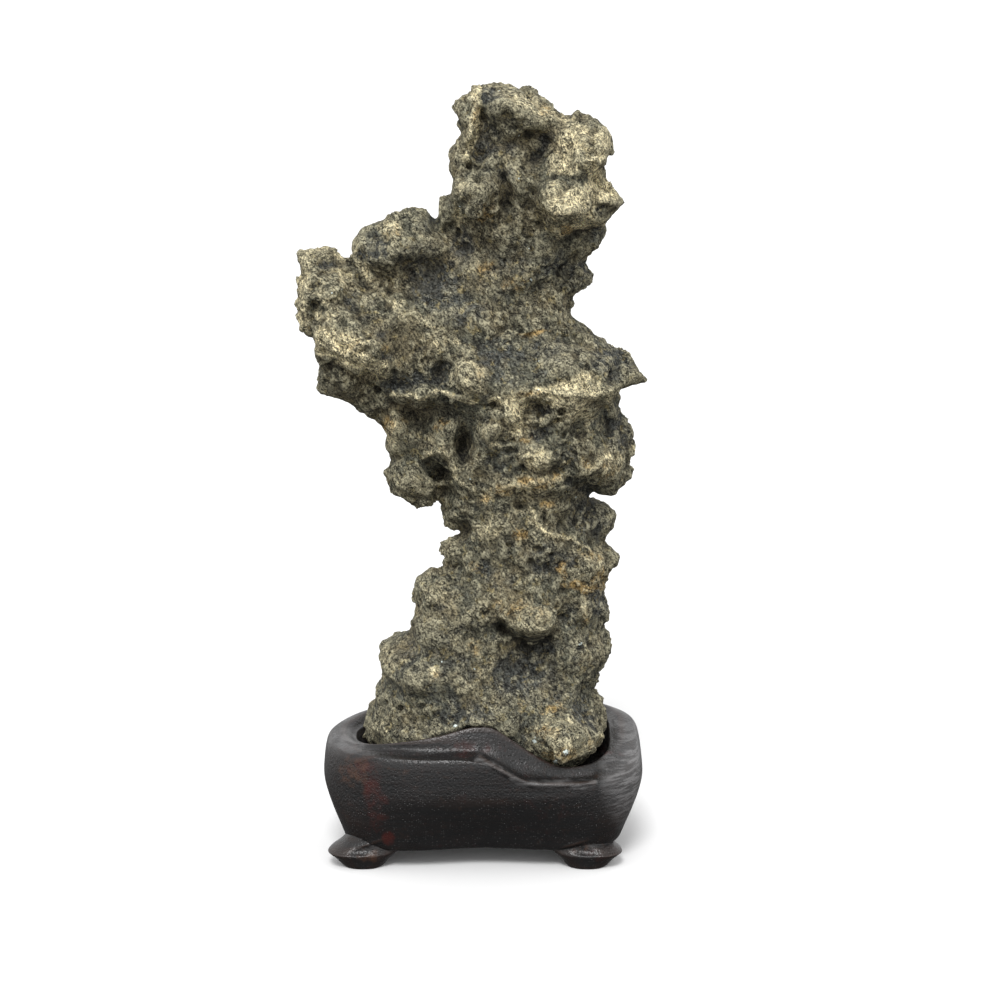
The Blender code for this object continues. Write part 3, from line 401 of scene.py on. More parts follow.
def smooth_step(low, high, value):
    t = np.clip((value - low) / (high - low), 0, 1)
    return t * t * (3 - 2 * t)


def even_turns(count):
    """Evenly spaced directions all the way round, in radians from +X."""
    return np.arange(count) * 2 * math.pi / count


def waves(points, size):
    """Smooth noise from -1 to 1 at points in millimetres."""
    return np.array([noise.noise(Vector(place) / size) for place in points.tolist()])


def cells(points, size):
    """Distance to the nearest cell centre, and a number from 0 to 1 of the cell's own."""
    nearest, own = [], []
    for place in points.tolist():
        distances, centres = noise.voronoi(Vector(place) / size)
        nearest.append(distances[0])
        own.append(noise.cell(centres[0] * CELL_SPREAD))
    return np.array(nearest), np.array(own)


# ---------------------------------------------------------------- the picture plane

SIGHT = np.array([0, math.cos(SIGHT_ELEVATION), -math.sin(SIGHT_ELEVATION)])
SIGHT_UP = np.array([0, math.sin(SIGHT_ELEVATION), math.cos(SIGHT_ELEVATION)])
SIGHT_RIGHT = np.array([1, 0, 0])


def in_picture(points):
    """U and V of points in millimetres, as seen by the camera."""
    eye = np.array(SIGHT_TARGET) - SIGHT * SIGHT_DISTANCE
    ray = points - eye
    scale = SIGHT_DISTANCE / (ray @ SIGHT)
    return ray[:, 0] * scale, (ray @ SIGHT_UP) * scale


def patch(u, v, at_u, at_v, half_u, half_v, lean=0):
    """A soft-edged patch in the picture plane: 1 in its middle, 0 outside."""
    turn = math.radians(lean)
    along = ((u - at_u) * math.cos(turn) + (v - at_v) * math.sin(turn)) / half_u
    up = ((v - at_v) * math.cos(turn) - (u - at_u) * math.sin(turn)) / half_v
    return np.clip(1 - (along ** 2 + up ** 2) / PATCH_REACH, 0, 1) ** 2


def trail(u, v, way, half_width):
    """A soft-edged line in the picture plane, smooth through its points: 1 in its middle, 0 outside."""
    reach = half_width * math.sqrt(PATCH_REACH)
    low, high = np.min(way, axis=0) - 2 * reach, np.max(way, axis=0) + 2 * reach
    near = (u > low[0]) & (u < high[0]) & (v > low[1]) & (v < high[1])
    places = np.column_stack([u[near], v[near]])
    nearest = np.full(len(places), np.inf)
    course = eased(way, LINE_STEPS)
    for start, end in zip(course, course[1:]):
        step = end - start
        along = np.clip((places - start) @ step / (step @ step), 0, 1)
        nearest = np.minimum(nearest, ((places - start - along[:, None] * step) ** 2).sum(axis=1))
    cover = np.zeros(len(u))
    cover[near] = np.clip(1 - nearest / reach ** 2, 0, 1) ** 2
    return cover


def painted(points, normals, rows, lines=()):
    """How strongly each point is covered by the front's patches in rows, and by lines of a like tone."""
    u, v = in_picture(warped(points, WARP))
    facing = smooth_step(-0.15, 0.2, -(normals @ SIGHT))
    cover = np.zeros(len(points))
    for *place, strength in rows:
        cover = np.maximum(cover, strength * np.sqrt(patch(u, v, *place)))
    for way, half_width, tone in lines:
        cover = np.maximum(cover, tone * np.sqrt(trail(u, v, way, half_width)))
    return cover * facing


# ---------------------------------------------------------------- the stand's form


def superellipse(turns, half, squareness):
    across = np.abs(np.cos(turns) / half[0]) ** squareness
    along = np.abs(np.sin(turns) / half[1]) ** squareness
    return (across + along) ** (-1 / squareness)


def bell(turns, hump):
    """A hump round the plan: direction, spread in degrees, and height."""
    middle, spread, height = hump
    away = np.abs((np.degrees(turns) - middle + 180) % 360 - 180) / spread
    return height * np.clip(1 - away ** 2, 0, 1) ** 1.5


def plan_radius(turns, squareness):
    """The stand's plan: a rounded oblong, its back corners trimmed and its left wall swollen."""
    swollen = 1 + bell(turns, LEFT_BULGE)
    trimmed = (1 - bell(turns, BACK_LEFT_CUT)) * (1 - bell(turns, BACK_RIGHT_CUT))
    return superellipse(turns, STAND_HALF, squareness) * trimmed * swollen


def rim_stations(turns):
    """Crest, crown, lip and crispness of the rim in each direction, smooth through the stations."""
    angles = np.degrees(turns) % 360
    stations = np.array(RIM_STATIONS[:-1], dtype=float)
    turn = np.array([360, 0, 0, 0, 0])
    stations = np.concatenate([stations[-2:] - turn, stations, stations[:2] + turn])
    slopes = (stations[2:] - stations[:-2])[:, 1:] / (stations[2:] - stations[:-2])[:, :1]
    start = np.clip(np.searchsorted(stations[:, 0], angles, side="right") - 1, 1, len(stations) - 3)
    low, high = stations[start], stations[start + 1]
    span = high[:, :1] - low[:, :1]
    t = (angles[:, None] - low[:, :1]) / span
    level = low[:, 1:] * (1 + 2 * t) * (1 - t) ** 2 + high[:, 1:] * t ** 2 * (3 - 2 * t)
    slope = slopes[start - 1] * t * (1 - t) ** 2 - slopes[start] * t ** 2 * (1 - t)
    return (level + slope * span).T


def top_profile(turns):
    """The rim from the shoulder in to the socket: inset and height in each direction."""
    crest, crown, lip, crisp = rim_stations(turns)
    rise = crest - SHOULDER
    rows = []
    for (soft_inset, soft_share), (crisp_inset, crisp_share) in zip(SOFT_SHOULDER, CRISP_SHOULDER):
        inset = (1 - crisp) * soft_inset + crisp * crisp_inset
        rows.append((inset, SHOULDER + ((1 - crisp) * soft_share + crisp * crisp_share) * rise))
    rows.append((np.full(len(turns), CROWN_INSET), (crest + lip) / 2 + crown))
    rows += [(np.full(len(turns), RIM_WIDTH - outward), lip - drop) for outward, drop in LIP_PROFILE]
    return rows


def eased(rows, steps):
    """Rows with steps times as many sections, on a smooth curve through the ones given."""
    rows = np.array(rows, dtype=float)
    ends = np.concatenate([rows[:1], rows, rows[-1:]])
    out = []
    for before, start, end, after in zip(ends, ends[1:], ends[2:], ends[3:]):
        for t in np.arange(steps) / steps:
            out.append(0.5 * (
                2 * start + (end - before) * t + (2 * before - 5 * start + 4 * end - after) * t ** 2
                + (3 * start - before - 3 * end + after) * t ** 3
            ))
    out.append(rows[-1])
    return out


def ring(centre, radii, height):
    turns = even_turns(len(radii))
    x = centre[0] + radii * np.cos(turns)
    y = centre[1] + radii * np.sin(turns)
    return np.column_stack([x, y, np.broadcast_to(height, len(radii))]) * MM


def loft(name, rings):
    """A closed solid through rings of equal count, listed from the bottom up, with fans over both ends."""
    count = len(rings[0])
    points = np.concatenate(rings + [rings[0].mean(axis=0)[None], rings[-1].mean(axis=0)[None]])
    faces = []
    for row in range(len(rings) - 1):
        for i in range(count):
            j = (i + 1) % count
            low, high = row * count, (row + 1) * count
            faces.append((low + i, low + j, high + j, high + i))
    bottom, top = len(points) - 2, len(points) - 1
    last = (len(rings) - 1) * count
    for i in range(count):
        j = (i + 1) % count
        faces.append((j, i, bottom))
        faces.append((last + i, last + j, top))
    mesh = bpy.data.meshes.new(name)
    mesh.from_pydata(points.tolist(), [], faces)
    return mesh


# ---------------------------------------------------------------- building the stand


def stand_body(shift):
    turns = even_turns(STAND_SEGMENTS)
    shoulder = plan_radius(turns, STAND_SQUARENESS)
    socket = shoulder - RIM_WIDTH
    flat = np.full(STAND_SEGMENTS, 1.0)
    wall = [(plan_radius(turns, square) - inset, height * flat) for inset, height, square in WALL_PROFILE]
    wall += [(shoulder - inset, height) for inset, height in top_profile(turns)]
    rows = [(CAP_SHARE * shoulder, UNDERSIDE * flat)] + eased(wall, STAND_STEPS)
    rows.append((socket, (SOCKET_FLOOR + SOCKET_ROUND) * flat))
    rows.append((socket - SOCKET_ROUND, SOCKET_FLOOR * flat))
    rows.append((CAP_SHARE * socket, SOCKET_FLOOR * flat))
    centre = (STAND_CENTRE[0] + shift[0], STAND_CENTRE[1] + shift[1])
    return loft("carved_stand", [ring(centre, radii, height) for radii, height in rows])


def stand_foot(name, x, y, out_x, out_y, shift):
    turns = even_turns(FOOT_SEGMENTS)
    point = np.clip(np.cos(turns - math.atan2(out_y, out_x)), 0, 1) ** FOOT_POINT
    rings = []
    for height, outward, inward, half_y, pointed in eased(FOOT_SECTIONS, STAND_STEPS):
        flare = (outward - inward) / 2
        middle = (x + flare * out_x + shift[0], y + flare * out_y * 0.5 + shift[1])
        radii = superellipse(turns, ((outward + inward) / 2, half_y), FOOT_SQUARENESS)
        rings.append(ring(middle, radii * (1 + pointed * point), max(height, 0)))
    return loft(name, rings)


def build_stand(shift):
    stand = new_object("carved_stand", stand_body(shift))
    feet = []
    for name, place in FEET.items():
        foot = new_object("foot_" + name, stand_foot("foot_" + name, *place, shift))
        join = stand.modifiers.new("join " + name, "BOOLEAN")
        join.operation = "UNION"
        join.object = foot
        feet.append(foot)
    bake_modifiers(stand)
    for foot in feet:
        bpy.data.objects.remove(foot, do_unlink=True)
    points, normals = surface(stand.data)
    size, height = CARVING_WAVES
    push = waves(points / MM, size) * height
    u, v = in_picture(points / MM)
    facing = smooth_step(0, 0.4, -(normals @ SIGHT))
    for *place, depth in STAND_FORMS:
        push += depth * patch(u, v, *place) * facing
    for way, half_width, depth in STAND_LINES:
        push += depth * trail(u, v, way, half_width) * facing
    push *= smooth_step(*CARVING_FOOT, points[:, 2] / MM)
    push_out(stand.data, points, normals, push)
    stand.data.shade_smooth()
    stand.data.set_sharp_from_angle(angle=STAND_CREASE)
    return stand


# ---------------------------------------------------------------- building the rock


def clear_of_stand(mesh, shift):
    """Keeps the rock's foot off the stand: in from the socket's wall, up from the rim, above its floor."""
    points = read(mesh, "co")
    low = points[:, 2] < FOOT_TOP * MM
    x = points[low, 0] / MM - STAND_CENTRE[0] - shift[0]
    y = points[low, 1] / MM - STAND_CENTRE[1] - shift[1]
    z = points[low, 2] / MM
    turns, reach = np.arctan2(y, x), np.hypot(x, y)
    inset = plan_radius(turns, STAND_SQUARENESS) - reach
    rows = top_profile(turns)
    gap = 2 * REST_GAP
    for i in range(len(z)):
        lift = np.interp(inset[i], [row[0][i] for row in rows], [row[1][i] for row in rows]) + gap - z[i]
        pull = RIM_WIDTH + gap - inset[i]
        if lift <= 0 or pull <= 0:
            continue
        if lift < pull:
            z[i] += lift
        else:
            reach[i] -= pull
    points[low, 0] = (STAND_CENTRE[0] + shift[0] + reach * np.cos(turns)) * MM
    points[low, 1] = (STAND_CENTRE[1] + shift[1] + reach * np.sin(turns)) * MM
    points[low, 2] = np.maximum(z, SOCKET_FLOOR + REST_GAP) * MM
    write_points(mesh, points)


def folds(points, table):
    """The sum of a table's folds: mostly above zero, with sharp creases below it."""
    return sum(height * (2 * np.abs(waves(points + 37 * size, size)) - 0.5) for size, height in table)


def facets(points, table):
    """The sum of a table's facets: flat, each tilted its own way, and broken off short at the next one."""
    total = np.zeros(len(points))
    for size, slope in table:
        rows = []
        for place in ((points + 73 * size) / size).tolist():
            distances, centres = noise.voronoi(Vector(place))
            near, far = centres[0], centres[1]
            near_tilt = noise.cell_vector(near * CELL_SPREAD) - HALF
            far_tilt = noise.cell_vector(far * CELL_SPREAD) - HALF
            here = Vector(place)
            rows.append((distances[1] - distances[0], (here - near) @ near_tilt, (here - far) @ far_tilt))
        margin, near_push, far_push = np.array(rows).T
        share = 0.5 + 0.5 * smooth_step(0, FACET_EDGE, margin)
        total += 2 * slope * size * (share * near_push + (1 - share) * far_push)
    return total


def roughness(points, normals):
    """How much of the fine relief each point keeps."""
    size, low, high = CRAGS
    share = low + (high - low) * smooth_step(-0.3, 0.3, waves(points + 900, size))
    return share * (1 - SMOOTHING * painted(points, normals, SMOOTH_PATCHES))


def warped(points, table):
    """Points shifted about by smooth noise, so that what is drawn on them has a ragged outline."""
    moved = points.copy()
    for size, shift in table:
        for axis in range(3):
            moved[:, axis] += shift * waves(points + 211 * (axis + 1), size)
    return moved


def knob_pass(mesh):
    """Folds, crests, facets, rounded knobs and sunken pockets all over."""
    points, normals = surface(mesh)
    places = warped(points / MM, WARP)
    push = folds(places, COARSE_FOLDS) - folds(places + 500, COARSE_CRESTS)
    nearest, own = cells(places, KNOBS[0])
    push += KNOBS[1] * (KNOB_LEVEL - nearest) * (0.4 + 1.2 * own)
    nearest, own = cells(places + 90, POCKETS[0])
    push -= POCKETS[1] * smooth_step(*POCKET_EDGE, nearest) * smooth_step(*POCKET_CELLS, own)
    push += facets(places, COARSE_FACETS)
    push *= roughness(points / MM, normals)
    push_out(mesh, points, normals, push)


def form_pass(mesh):
    """The front's outline, shifted square to the line of sight, then its hollows and ridges, along it."""
    points, normals = surface(mesh)
    u, v = in_picture(points / MM)
    shift = np.zeros((len(points), 3))
    for at_u, at_v, half_u, half_v, shift_u, shift_v in OUTLINE_SHIFTS:
        share = patch(u, v, at_u, at_v, half_u * SHIFT_REACH, half_v * SHIFT_REACH)
        shift += share[:, None] * (shift_u * SIGHT_RIGHT + shift_v * SIGHT_UP)
    u, v = in_picture(warped(points / MM, WARP))
    push = np.zeros(len(points))
    for *place, depth in FRONT_FORMS:
        push += depth * patch(u, v, *place)
    for way, half_width, depth, _ in FRONT_LINES:
        push += depth * trail(u, v, way, half_width)
    facing = smooth_step(-0.1, 0.4, -(normals @ SIGHT))
    write_points(mesh, points + (shift - SIGHT * (push * facing)[:, None]) * MM)


def grain_pass(mesh):
    """Small facets, folds and crests, pits, the front's holes and grain."""
    points, normals = surface(mesh)
    places = points / MM
    push = folds(places, FINE_FOLDS) - folds(places + 500, FINE_CRESTS)
    near = warped(places, WARP[1:])
    nearest, own = cells(near + 170, PITS[0])
    push -= PITS[1] * smooth_step(*PIT_EDGE, nearest) * smooth_step(*PIT_CELLS, own)
    push += GRAIN[1] * waves(places, GRAIN[0]) + facets(near, FINE_FACETS)
    push *= roughness(places, normals)
    u, v = in_picture(near)
    facing = smooth_step(0.1, 0.5, -(normals @ SIGHT))
    for at_u, at_v, radius, depth in FRONT_HOLES:
        push -= depth * patch(u, v, at_u, at_v, radius, radius) * facing
    push_out(mesh, points, normals, push)


def edge_ends(mesh):
    ends = np.empty(len(mesh.edges) * 2, dtype=np.int64)
    mesh.edges.foreach_get("vertices", ends)
    return ends.reshape(-1, 2)


def drop_crumbs(mesh):
    """Removes the specks that a remesh leaves loose beside the stone."""
    ends = edge_ends(mesh)
    own = np.arange(len(mesh.vertices))
    while True:
        joined = own.copy()
        for side, other in ((0, 1), (1, 0)):
            np.minimum.at(joined, ends[:, side], own[ends[:, other]])
        joined = joined[joined]
        if (joined == own).all():
            break
        own = joined
    stone = np.bincount(own).argmax()
    bm = bmesh.new()
    bm.from_mesh(mesh)
    bm.verts.ensure_lookup_table()
    loose = [bm.verts[index] for index in np.flatnonzero(own != stone)]
    bmesh.ops.delete(bm, geom=loose, context="VERTS")
    bm.to_mesh(mesh)
    bm.free()


def spread(values, ends, count, times):
    """Each value averaged with its neighbours' along the mesh's edges, over and over."""
    near = np.bincount(ends.ravel(), minlength=count)
    for _ in range(times):
        total = np.empty_like(values)
        for axis in range(values.shape[1]):
            column = values[:, axis]
            total[:, axis] = np.bincount(ends[:, 0], column[ends[:, 1]], count)
            total[:, axis] += np.bincount(ends[:, 1], column[ends[:, 0]], count)
        values = 0.4 * values + 0.6 * total / near[:, None]
    return values


def hollowness(mesh, times):
    """How far each point lies under the surface averaged around it, in millimetres."""
    points, normals = surface(mesh, MM)
    average = spread(points, edge_ends(mesh), len(points), times)
    return ((average - points) * normals).sum(axis=1)


def paint_rock(mesh):
    """Attributes that the stone's material reads."""
    places, normals = surface(mesh, MM)
    write_attribute(mesh, "fine_hollow", hollowness(mesh, FINE_SPREAD))
    write_attribute(mesh, "broad_hollow", hollowness(mesh, BROAD_SPREAD))
    pale = [(way, width, tone) for way, width, _, tone in FRONT_LINES if tone > 0]
    # Pale lines add to the cream; the others are painted shade along creases.
    painted_shade = [(way, width, -tone) for way, width, _, tone in FRONT_LINES if tone < 0]
    back = smooth_step(0.1, -0.3, -(normals @ SIGHT)) * BACK_TINT
    # Each colour of the front, then the noise that spreads it over the back: size, low and high, and shift.
    for name, rows, lines, size, low, high, apart in (
        ("cream", CREAM_PATCHES, pale, 17, 0, 0.6, 400),
        ("ochre", OCHRE_PATCHES, (), 9, 0.1, 0.7, 700),
        ("slate", SLATE_PATCHES, (), 20, -0.1, 0.5, 1000),
    ):
        hidden = back * smooth_step(low, high, waves(places + apart, size))
        write_attribute(mesh, name, np.maximum(painted(places, normals, rows, lines), hidden))
    # Painted shade and painted shadow, from the patches above and from the lines of creases.
    write_attribute(mesh, "painted_shade", painted(places, normals, PAINTED_SHADE_PATCHES, painted_shade))
    u, v = in_picture(places)
    crystal = np.zeros(len(places))
    for at_u, at_v, radius in CRYSTALS:
        half = radius * CRYSTAL_CORE
        crystal = np.maximum(crystal, patch(u, v, at_u, at_v, half, half))
    write_attribute(mesh, "crystal", crystal * smooth_step(0, 0.2, -(normals @ SIGHT)))


def build_rock(solid, shift):
    rock = new_object("weathered_rock", solid.data.copy())
    remesh(rock, BASE_VOXEL, BASE_ROUNDS)
    knob_pass(rock.data)
    form_pass(rock.data)
    clear_of_stand(rock.data, shift)
    remesh(rock, FINE_VOXEL, FINE_ROUNDS)
    drop_crumbs(rock.data)
    grain_pass(rock.data)
    clear_of_stand(rock.data, shift)
    thin_out(rock, ROCK_TRIANGLES)
    paint_rock(rock.data)
    rock.data.shade_smooth()
    return rock


# ---------------------------------------------------------------- materials


class Shader:
    """A material's node tree, built one value at a time."""

    def __init__(self, name):
        self.material = bpy.data.materials.new(name)
        self.material.use_nodes = True
        self.tree = self.material.node_tree
        self.surface = self.tree.nodes["Principled BSDF"]
        self.coordinates = self.tree.nodes.new("ShaderNodeTexCoord").outputs["Object"]

    def node(self, kind, inputs, **settings):
        made = self.tree.nodes.new(kind)
        for name, value in settings.items():
            setattr(made, name, value)
        for name, value in inputs.items():
            self.feed(made.inputs[name], value)
        return made

    def feed(self, socket, value):
        if isinstance(value, bpy.types.NodeSocket):
            self.tree.links.new(value, socket)
        else:
            socket.default_value = value

    def attribute(self, name):
        return self.node("ShaderNodeAttribute", {}, attribute_name=name).outputs["Fac"]

    def stretched(self, size, turn=(0, 0, 0)):
        """Coordinates with a unit as long as size, in millimetres, along each axis of a turned frame."""
        sizes = size if isinstance(size, tuple) else (size,) * 3
        inputs = {"Vector": self.coordinates, "Scale": [length * MM for length in sizes], "Rotation": turn}
        return self.node("ShaderNodeMapping", inputs, vector_type="TEXTURE").outputs[0]

    def noise(self, size, detail=2.0, roughness=0.55, distortion=0.0, turn=(0, 0, 0)):
        inputs = {"Vector": self.stretched(size, turn), "Scale": 1.0, "Detail": detail}
        inputs.update({"Roughness": roughness, "Distortion": distortion})
        return self.node("ShaderNodeTexNoise", inputs).outputs[0]

    def cells(self, size):
        inputs = {"Vector": self.stretched(size), "Scale": 1.0}
        return self.node("ShaderNodeTexVoronoi", inputs)

    def maths(self, operation, first, second=0.0):
        made = self.tree.nodes.new("ShaderNodeMath")
        made.operation = operation
        self.feed(made.inputs[0], first)
        self.feed(made.inputs[1], second)
        return made.outputs[0]

    def times(self, first, second):
        return self.maths("MULTIPLY", first, second)

    def ramp(self, value, low, high, start=0.0, end=1.0):
        """value from low to high, turned into start to end and held there."""
        inputs = {"Value": value, "From Min": low, "From Max": high, "To Min": start, "To Max": end}
        return self.node("ShaderNodeMapRange", inputs, interpolation_type="SMOOTHSTEP").outputs[0]

    def mix(self, share, first, second, blend="MIX"):
        made = self.tree.nodes.new("ShaderNodeMix")
        made.data_type = "RGBA"
        made.blend_type = blend
        self.feed(made.inputs[0], share)
        self.feed(made.inputs[6], first)
        self.feed(made.inputs[7], second)
        return made.outputs[2]

    def finished(self, colour, roughness, specular, height, distance):
        """The material, coloured and made uneven by height, which stands distance millimetres high."""
        self.feed(self.surface.inputs["Base Color"], colour)
        self.feed(self.surface.inputs["Roughness"], roughness)
        self.surface.inputs["Specular IOR Level"].default_value = specular
        inputs = {"Height": height, "Distance": distance * MM, "Strength": 1.0}
        self.feed(self.surface.inputs["Normal"], self.node("ShaderNodeBump", inputs).outputs[0])
        return self.material


GREY_STONE = (0.132, 0.13, 0.1, 1)
WARM_STONE = (0.205, 0.177, 0.117, 1)
SLATE_STONE = (0.074, 0.08, 0.083, 1)
CREAM_STONE = (0.95, 0.83, 0.56, 1)
OCHRE_STONE = (0.52, 0.34, 0.13, 1)
GOLD_STONE = (0.34, 0.27, 0.12, 1)
# Painted shade, laid into hollows and creases and over the most shaded patches.
SHADE_STONE = (0.028, 0.026, 0.02, 1)
# Pale dust, which on ridges is also a painted highlight.
DUST_AND_HIGHLIGHT = (0.4, 0.37, 0.27, 1)
CRYSTAL = (0.85, 0.95, 0.9, 1)
# Stains, and the painted shade of the most shaded places, in the order they are laid: attribute, size of
# their ragged edge, strength and paint.
STONE_TINTS = [
    ("cream", 3, 0.9, CREAM_STONE), ("ochre", 2.2, 0.72, OCHRE_STONE), ("painted_shade", 3, 0.75, SHADE_STONE),
]
# Painted shade in hollows, and pale dust with a painted highlight on ridges (below 0): attribute, where it
# starts and is full, strength and paint.
HOLLOW_SHADE_AND_RIDGE_HIGHLIGHT = [
    ("broad_hollow", 0.1, -1.6, 0.3, DUST_AND_HIGHLIGHT), ("fine_hollow", -0.03, -0.22, 0.45, DUST_AND_HIGHLIGHT),
    ("broad_hollow", 0.6, 3.6, 0.4, SHADE_STONE), ("fine_hollow", 0.06, 0.45, 0.45, SHADE_STONE),
]


def broken(shader, cover, size):
    """A painted patch with a ragged, speckled edge."""
    ragged = shader.maths("ADD", cover, shader.ramp(shader.noise(size, 4, 0.65), 0.25, 0.75, -0.3, 0.3))
    return shader.ramp(ragged, 0.1, 0.85)


def curls(shader, size):
    """Thin curling lines, 1 along their middle and 0 away from them."""
    middle = shader.maths("SUBTRACT", shader.noise(size, 1.5, 0.5, 1.5), 0.5)
    return shader.ramp(shader.maths("ABSOLUTE", middle), 0.045, 0.005)


def tinted(shader, colour, name, size, strength, paint):
    """The colour with paint laid over it where the named attribute is high."""
    share = shader.times(broken(shader, shader.attribute(name), size), strength)
    return shader.mix(share, colour, paint)


def spots(shader, size, channel, chosen, edge):
    """Round spots in some of the cells of a size: 1 in their middle, 0 outside."""
    found = shader.cells(size)
    own = shader.node("ShaderNodeSeparateColor", {"Color": found.outputs["Color"]}).outputs[channel]
    return shader.times(shader.ramp(own, *chosen), shader.ramp(found.outputs["Distance"], *edge))


def stone_material():
    shader = Shader("weathered_stone")
    colour = shader.mix(shader.ramp(shader.noise(14, 3), 0.38, 0.66), GREY_STONE, WARM_STONE)
    colour = tinted(shader, colour, "slate", 4, 0.85, SLATE_STONE)
    colour = shader.mix(shader.ramp(shader.noise(4.2, 3, 0.6), 0.54, 0.68, 0, 0.4), colour, SLATE_STONE)
    colour = shader.mix(shader.ramp(shader.noise(3.1, 3, 0.65), 0.55, 0.68, 0, 0.5), colour, GOLD_STONE)
    for stain in STONE_TINTS:
        colour = tinted(shader, colour, *stain)
    # Painted shade in the hollows, and a painted highlight on the ridges.
    for name, low, high, strength, paint in HOLLOW_SHADE_AND_RIDGE_HIGHLIGHT:
        colour = shader.mix(shader.ramp(shader.attribute(name), low, high, 0, strength), colour, paint)
    fibre = shader.maths("ADD", shader.noise((2.2, 0.8, 1), 2, 0.65, 0.6, (0.5, 0.9, 0.3)),
                         shader.noise((0.9, 0.8, 2.2), 2, 0.65, 0.6, (-0.7, 0.5, 1.1)))
    grit = shader.maths("ADD", shader.times(fibre, 0.34), shader.times(shader.noise(0.62, 2, 0.6), 0.32))
    curl = shader.maths("MAXIMUM", curls(shader, 2.1), curls(shader, 1.3))
    curl = shader.times(curl, shader.ramp(shader.noise(5, 2), 0.42, 0.56))
    crack = shader.times(curls(shader, 2.9), shader.ramp(shader.noise(4, 2), 0.45, 0.6))
    pit = spots(shader, (1.3, 1.7, 1.1), "Green", (0.9, 0.93), (0.42, 0.2))
    sunken = shader.maths("MAXIMUM", pit, crack)
    # The grain's own speckle, made lighter where the grain stands high and darker in pits and cracks: painted
    # light and shade of the fine relief.
    light = shader.maths("ADD", shader.ramp(grit, 0.42, 0.6, 0.22, 1.72), shader.times(curl, 0.9))
    light = shader.times(light, shader.ramp(sunken, 0, 1, 1, 0.25))
    channels = {"Red": light, "Green": light, "Blue": shader.times(light, 0.93)}
    shade = shader.node("ShaderNodeCombineColor", channels).outputs[0]
    colour = shader.mix(1.0, colour, shade, "MULTIPLY")
    facet = shader.ramp(shader.noise(1.1, 1), 0.3, 0.7, -0.35, 0.35)
    crystal = shader.ramp(shader.maths("ADD", shader.attribute("crystal"), facet), 0.38, 0.46)
    glint = shader.maths("MAXIMUM", spots(shader, 3.4, "Red", (0.965, 0.97), (0.12, 0.07)), crystal)
    colour = shader.mix(glint, colour, CRYSTAL)
    height = shader.maths("ADD", grit, shader.times(curl, 0.5))
    height = shader.maths("SUBTRACT", height, shader.times(sunken, 0.8))
    return shader.finished(colour, shader.ramp(glint, 0, 1, 0.9, 0.25), 0.35, height, 0.9)


DARK_WOOD = (0.0112, 0.011, 0.0113, 1)
BROWN_WOOD = (0.0138, 0.0118, 0.0115, 1)
RED_WOOD = (0.075, 0.014, 0.01, 1)
# Orange-brown of rubbed wood, laid on worn edges, and also as painted light where the stand looks lit.
WORN_AND_LIT_WOOD = (0.12, 0.055, 0.03, 1)
# Painted reflection: the pale sheen of the studio's glow on glossy wood.
SHEEN_WOOD = (0.2, 0.196, 0.196, 1)
PORE_WOOD = (0.13, 0.125, 0.12, 1)
# Red stain, and worn wood that is also painted light: attribute, size of their ragged edge, strength and
# paint.
WOOD_TINTS = [("red", 5, 0.7, RED_WOOD), ("worn_and_lit", 3, 0.6, WORN_AND_LIT_WOOD)]
# Where the stand is coloured apart from the rest, given as for the stone.
RED_PATCHES = [
    (-45, -108, 4.4, 13, 8, 0.45), (-41, -122, 3, 2.5, 0.9), (-49, -96, 6, 4, 0.4), (38, -91, 5, 2, 0.35),
    (34, -128, 5, 3, 10, 0.5), (-10, -90, 12, 2, 0.4),
]
# Rubbed wear on the shoulder and feet, and painted light where the left wall and the shoulder are lit
# orange-brown.
WORN_AND_LIT_PATCHES = [
    (-42, -97, 9, 1.6, 0.2), (-35, -96, 2, 3, 0.3), (-46, -128, 5, 2.5, 0.5), (30, -126, 6, 2, 0.35),
    (-52, -98, 6, 8, 0.4),
]
# Where painted reflection lies: the rims, the right wall and the bead.
SHEEN_PATCHES = [
    (50, -101, 12, 20, 8, 1), (48, -88, 6, 6, 0.5), (-54, -86, 7, 5, 20, 0.5), (42, -80, 8, 4, -40, 0.5),
    (-40, -84, 14, 3, 10, 0.35),
]
BEAD_HIGHLIGHT = 0.5          # how pale the bead's painted highlight is


def wood_material():
    shader = Shader("carved_rosewood")
    streak = shader.noise((22, 2.2, 1.4), 4, 0.6, 0.3)
    colour = shader.mix(shader.ramp(streak, 0.42, 0.62), DARK_WOOD, BROWN_WOOD)
    for stain in WOOD_TINTS:
        colour = tinted(shader, colour, *stain)
    # Painted reflection, broken into streaks and dashes.
    sheen_breaks = shader.ramp(shader.noise((9, 9, 0.9), 3, 0.6, 0.2), 0.42, 0.6, 0.3, 1)
    colour = shader.mix(shader.times(shader.attribute("painted_sheen"), sheen_breaks), colour, SHEEN_WOOD)
    colour = shader.mix(shader.ramp(shader.attribute("edge"), -0.02, -0.12, 0, 0.12), colour, WORN_AND_LIT_WOOD)
    pore = spots(shader, (0.8, 0.6, 0.6), "Red", (0.6, 0.95), (0.45, 0.1))
    colour = shader.mix(shader.times(pore, 0.2), colour, PORE_WOOD)
    height = shader.maths("ADD", shader.noise(0.8, 2, 0.5), shader.times(streak, 0.5))
    height = shader.maths("SUBTRACT", height, pore)
    return shader.finished(colour, shader.ramp(shader.noise(7, 3), 0.3, 0.7, 0.27, 0.4), 0.5, height, 0.22)


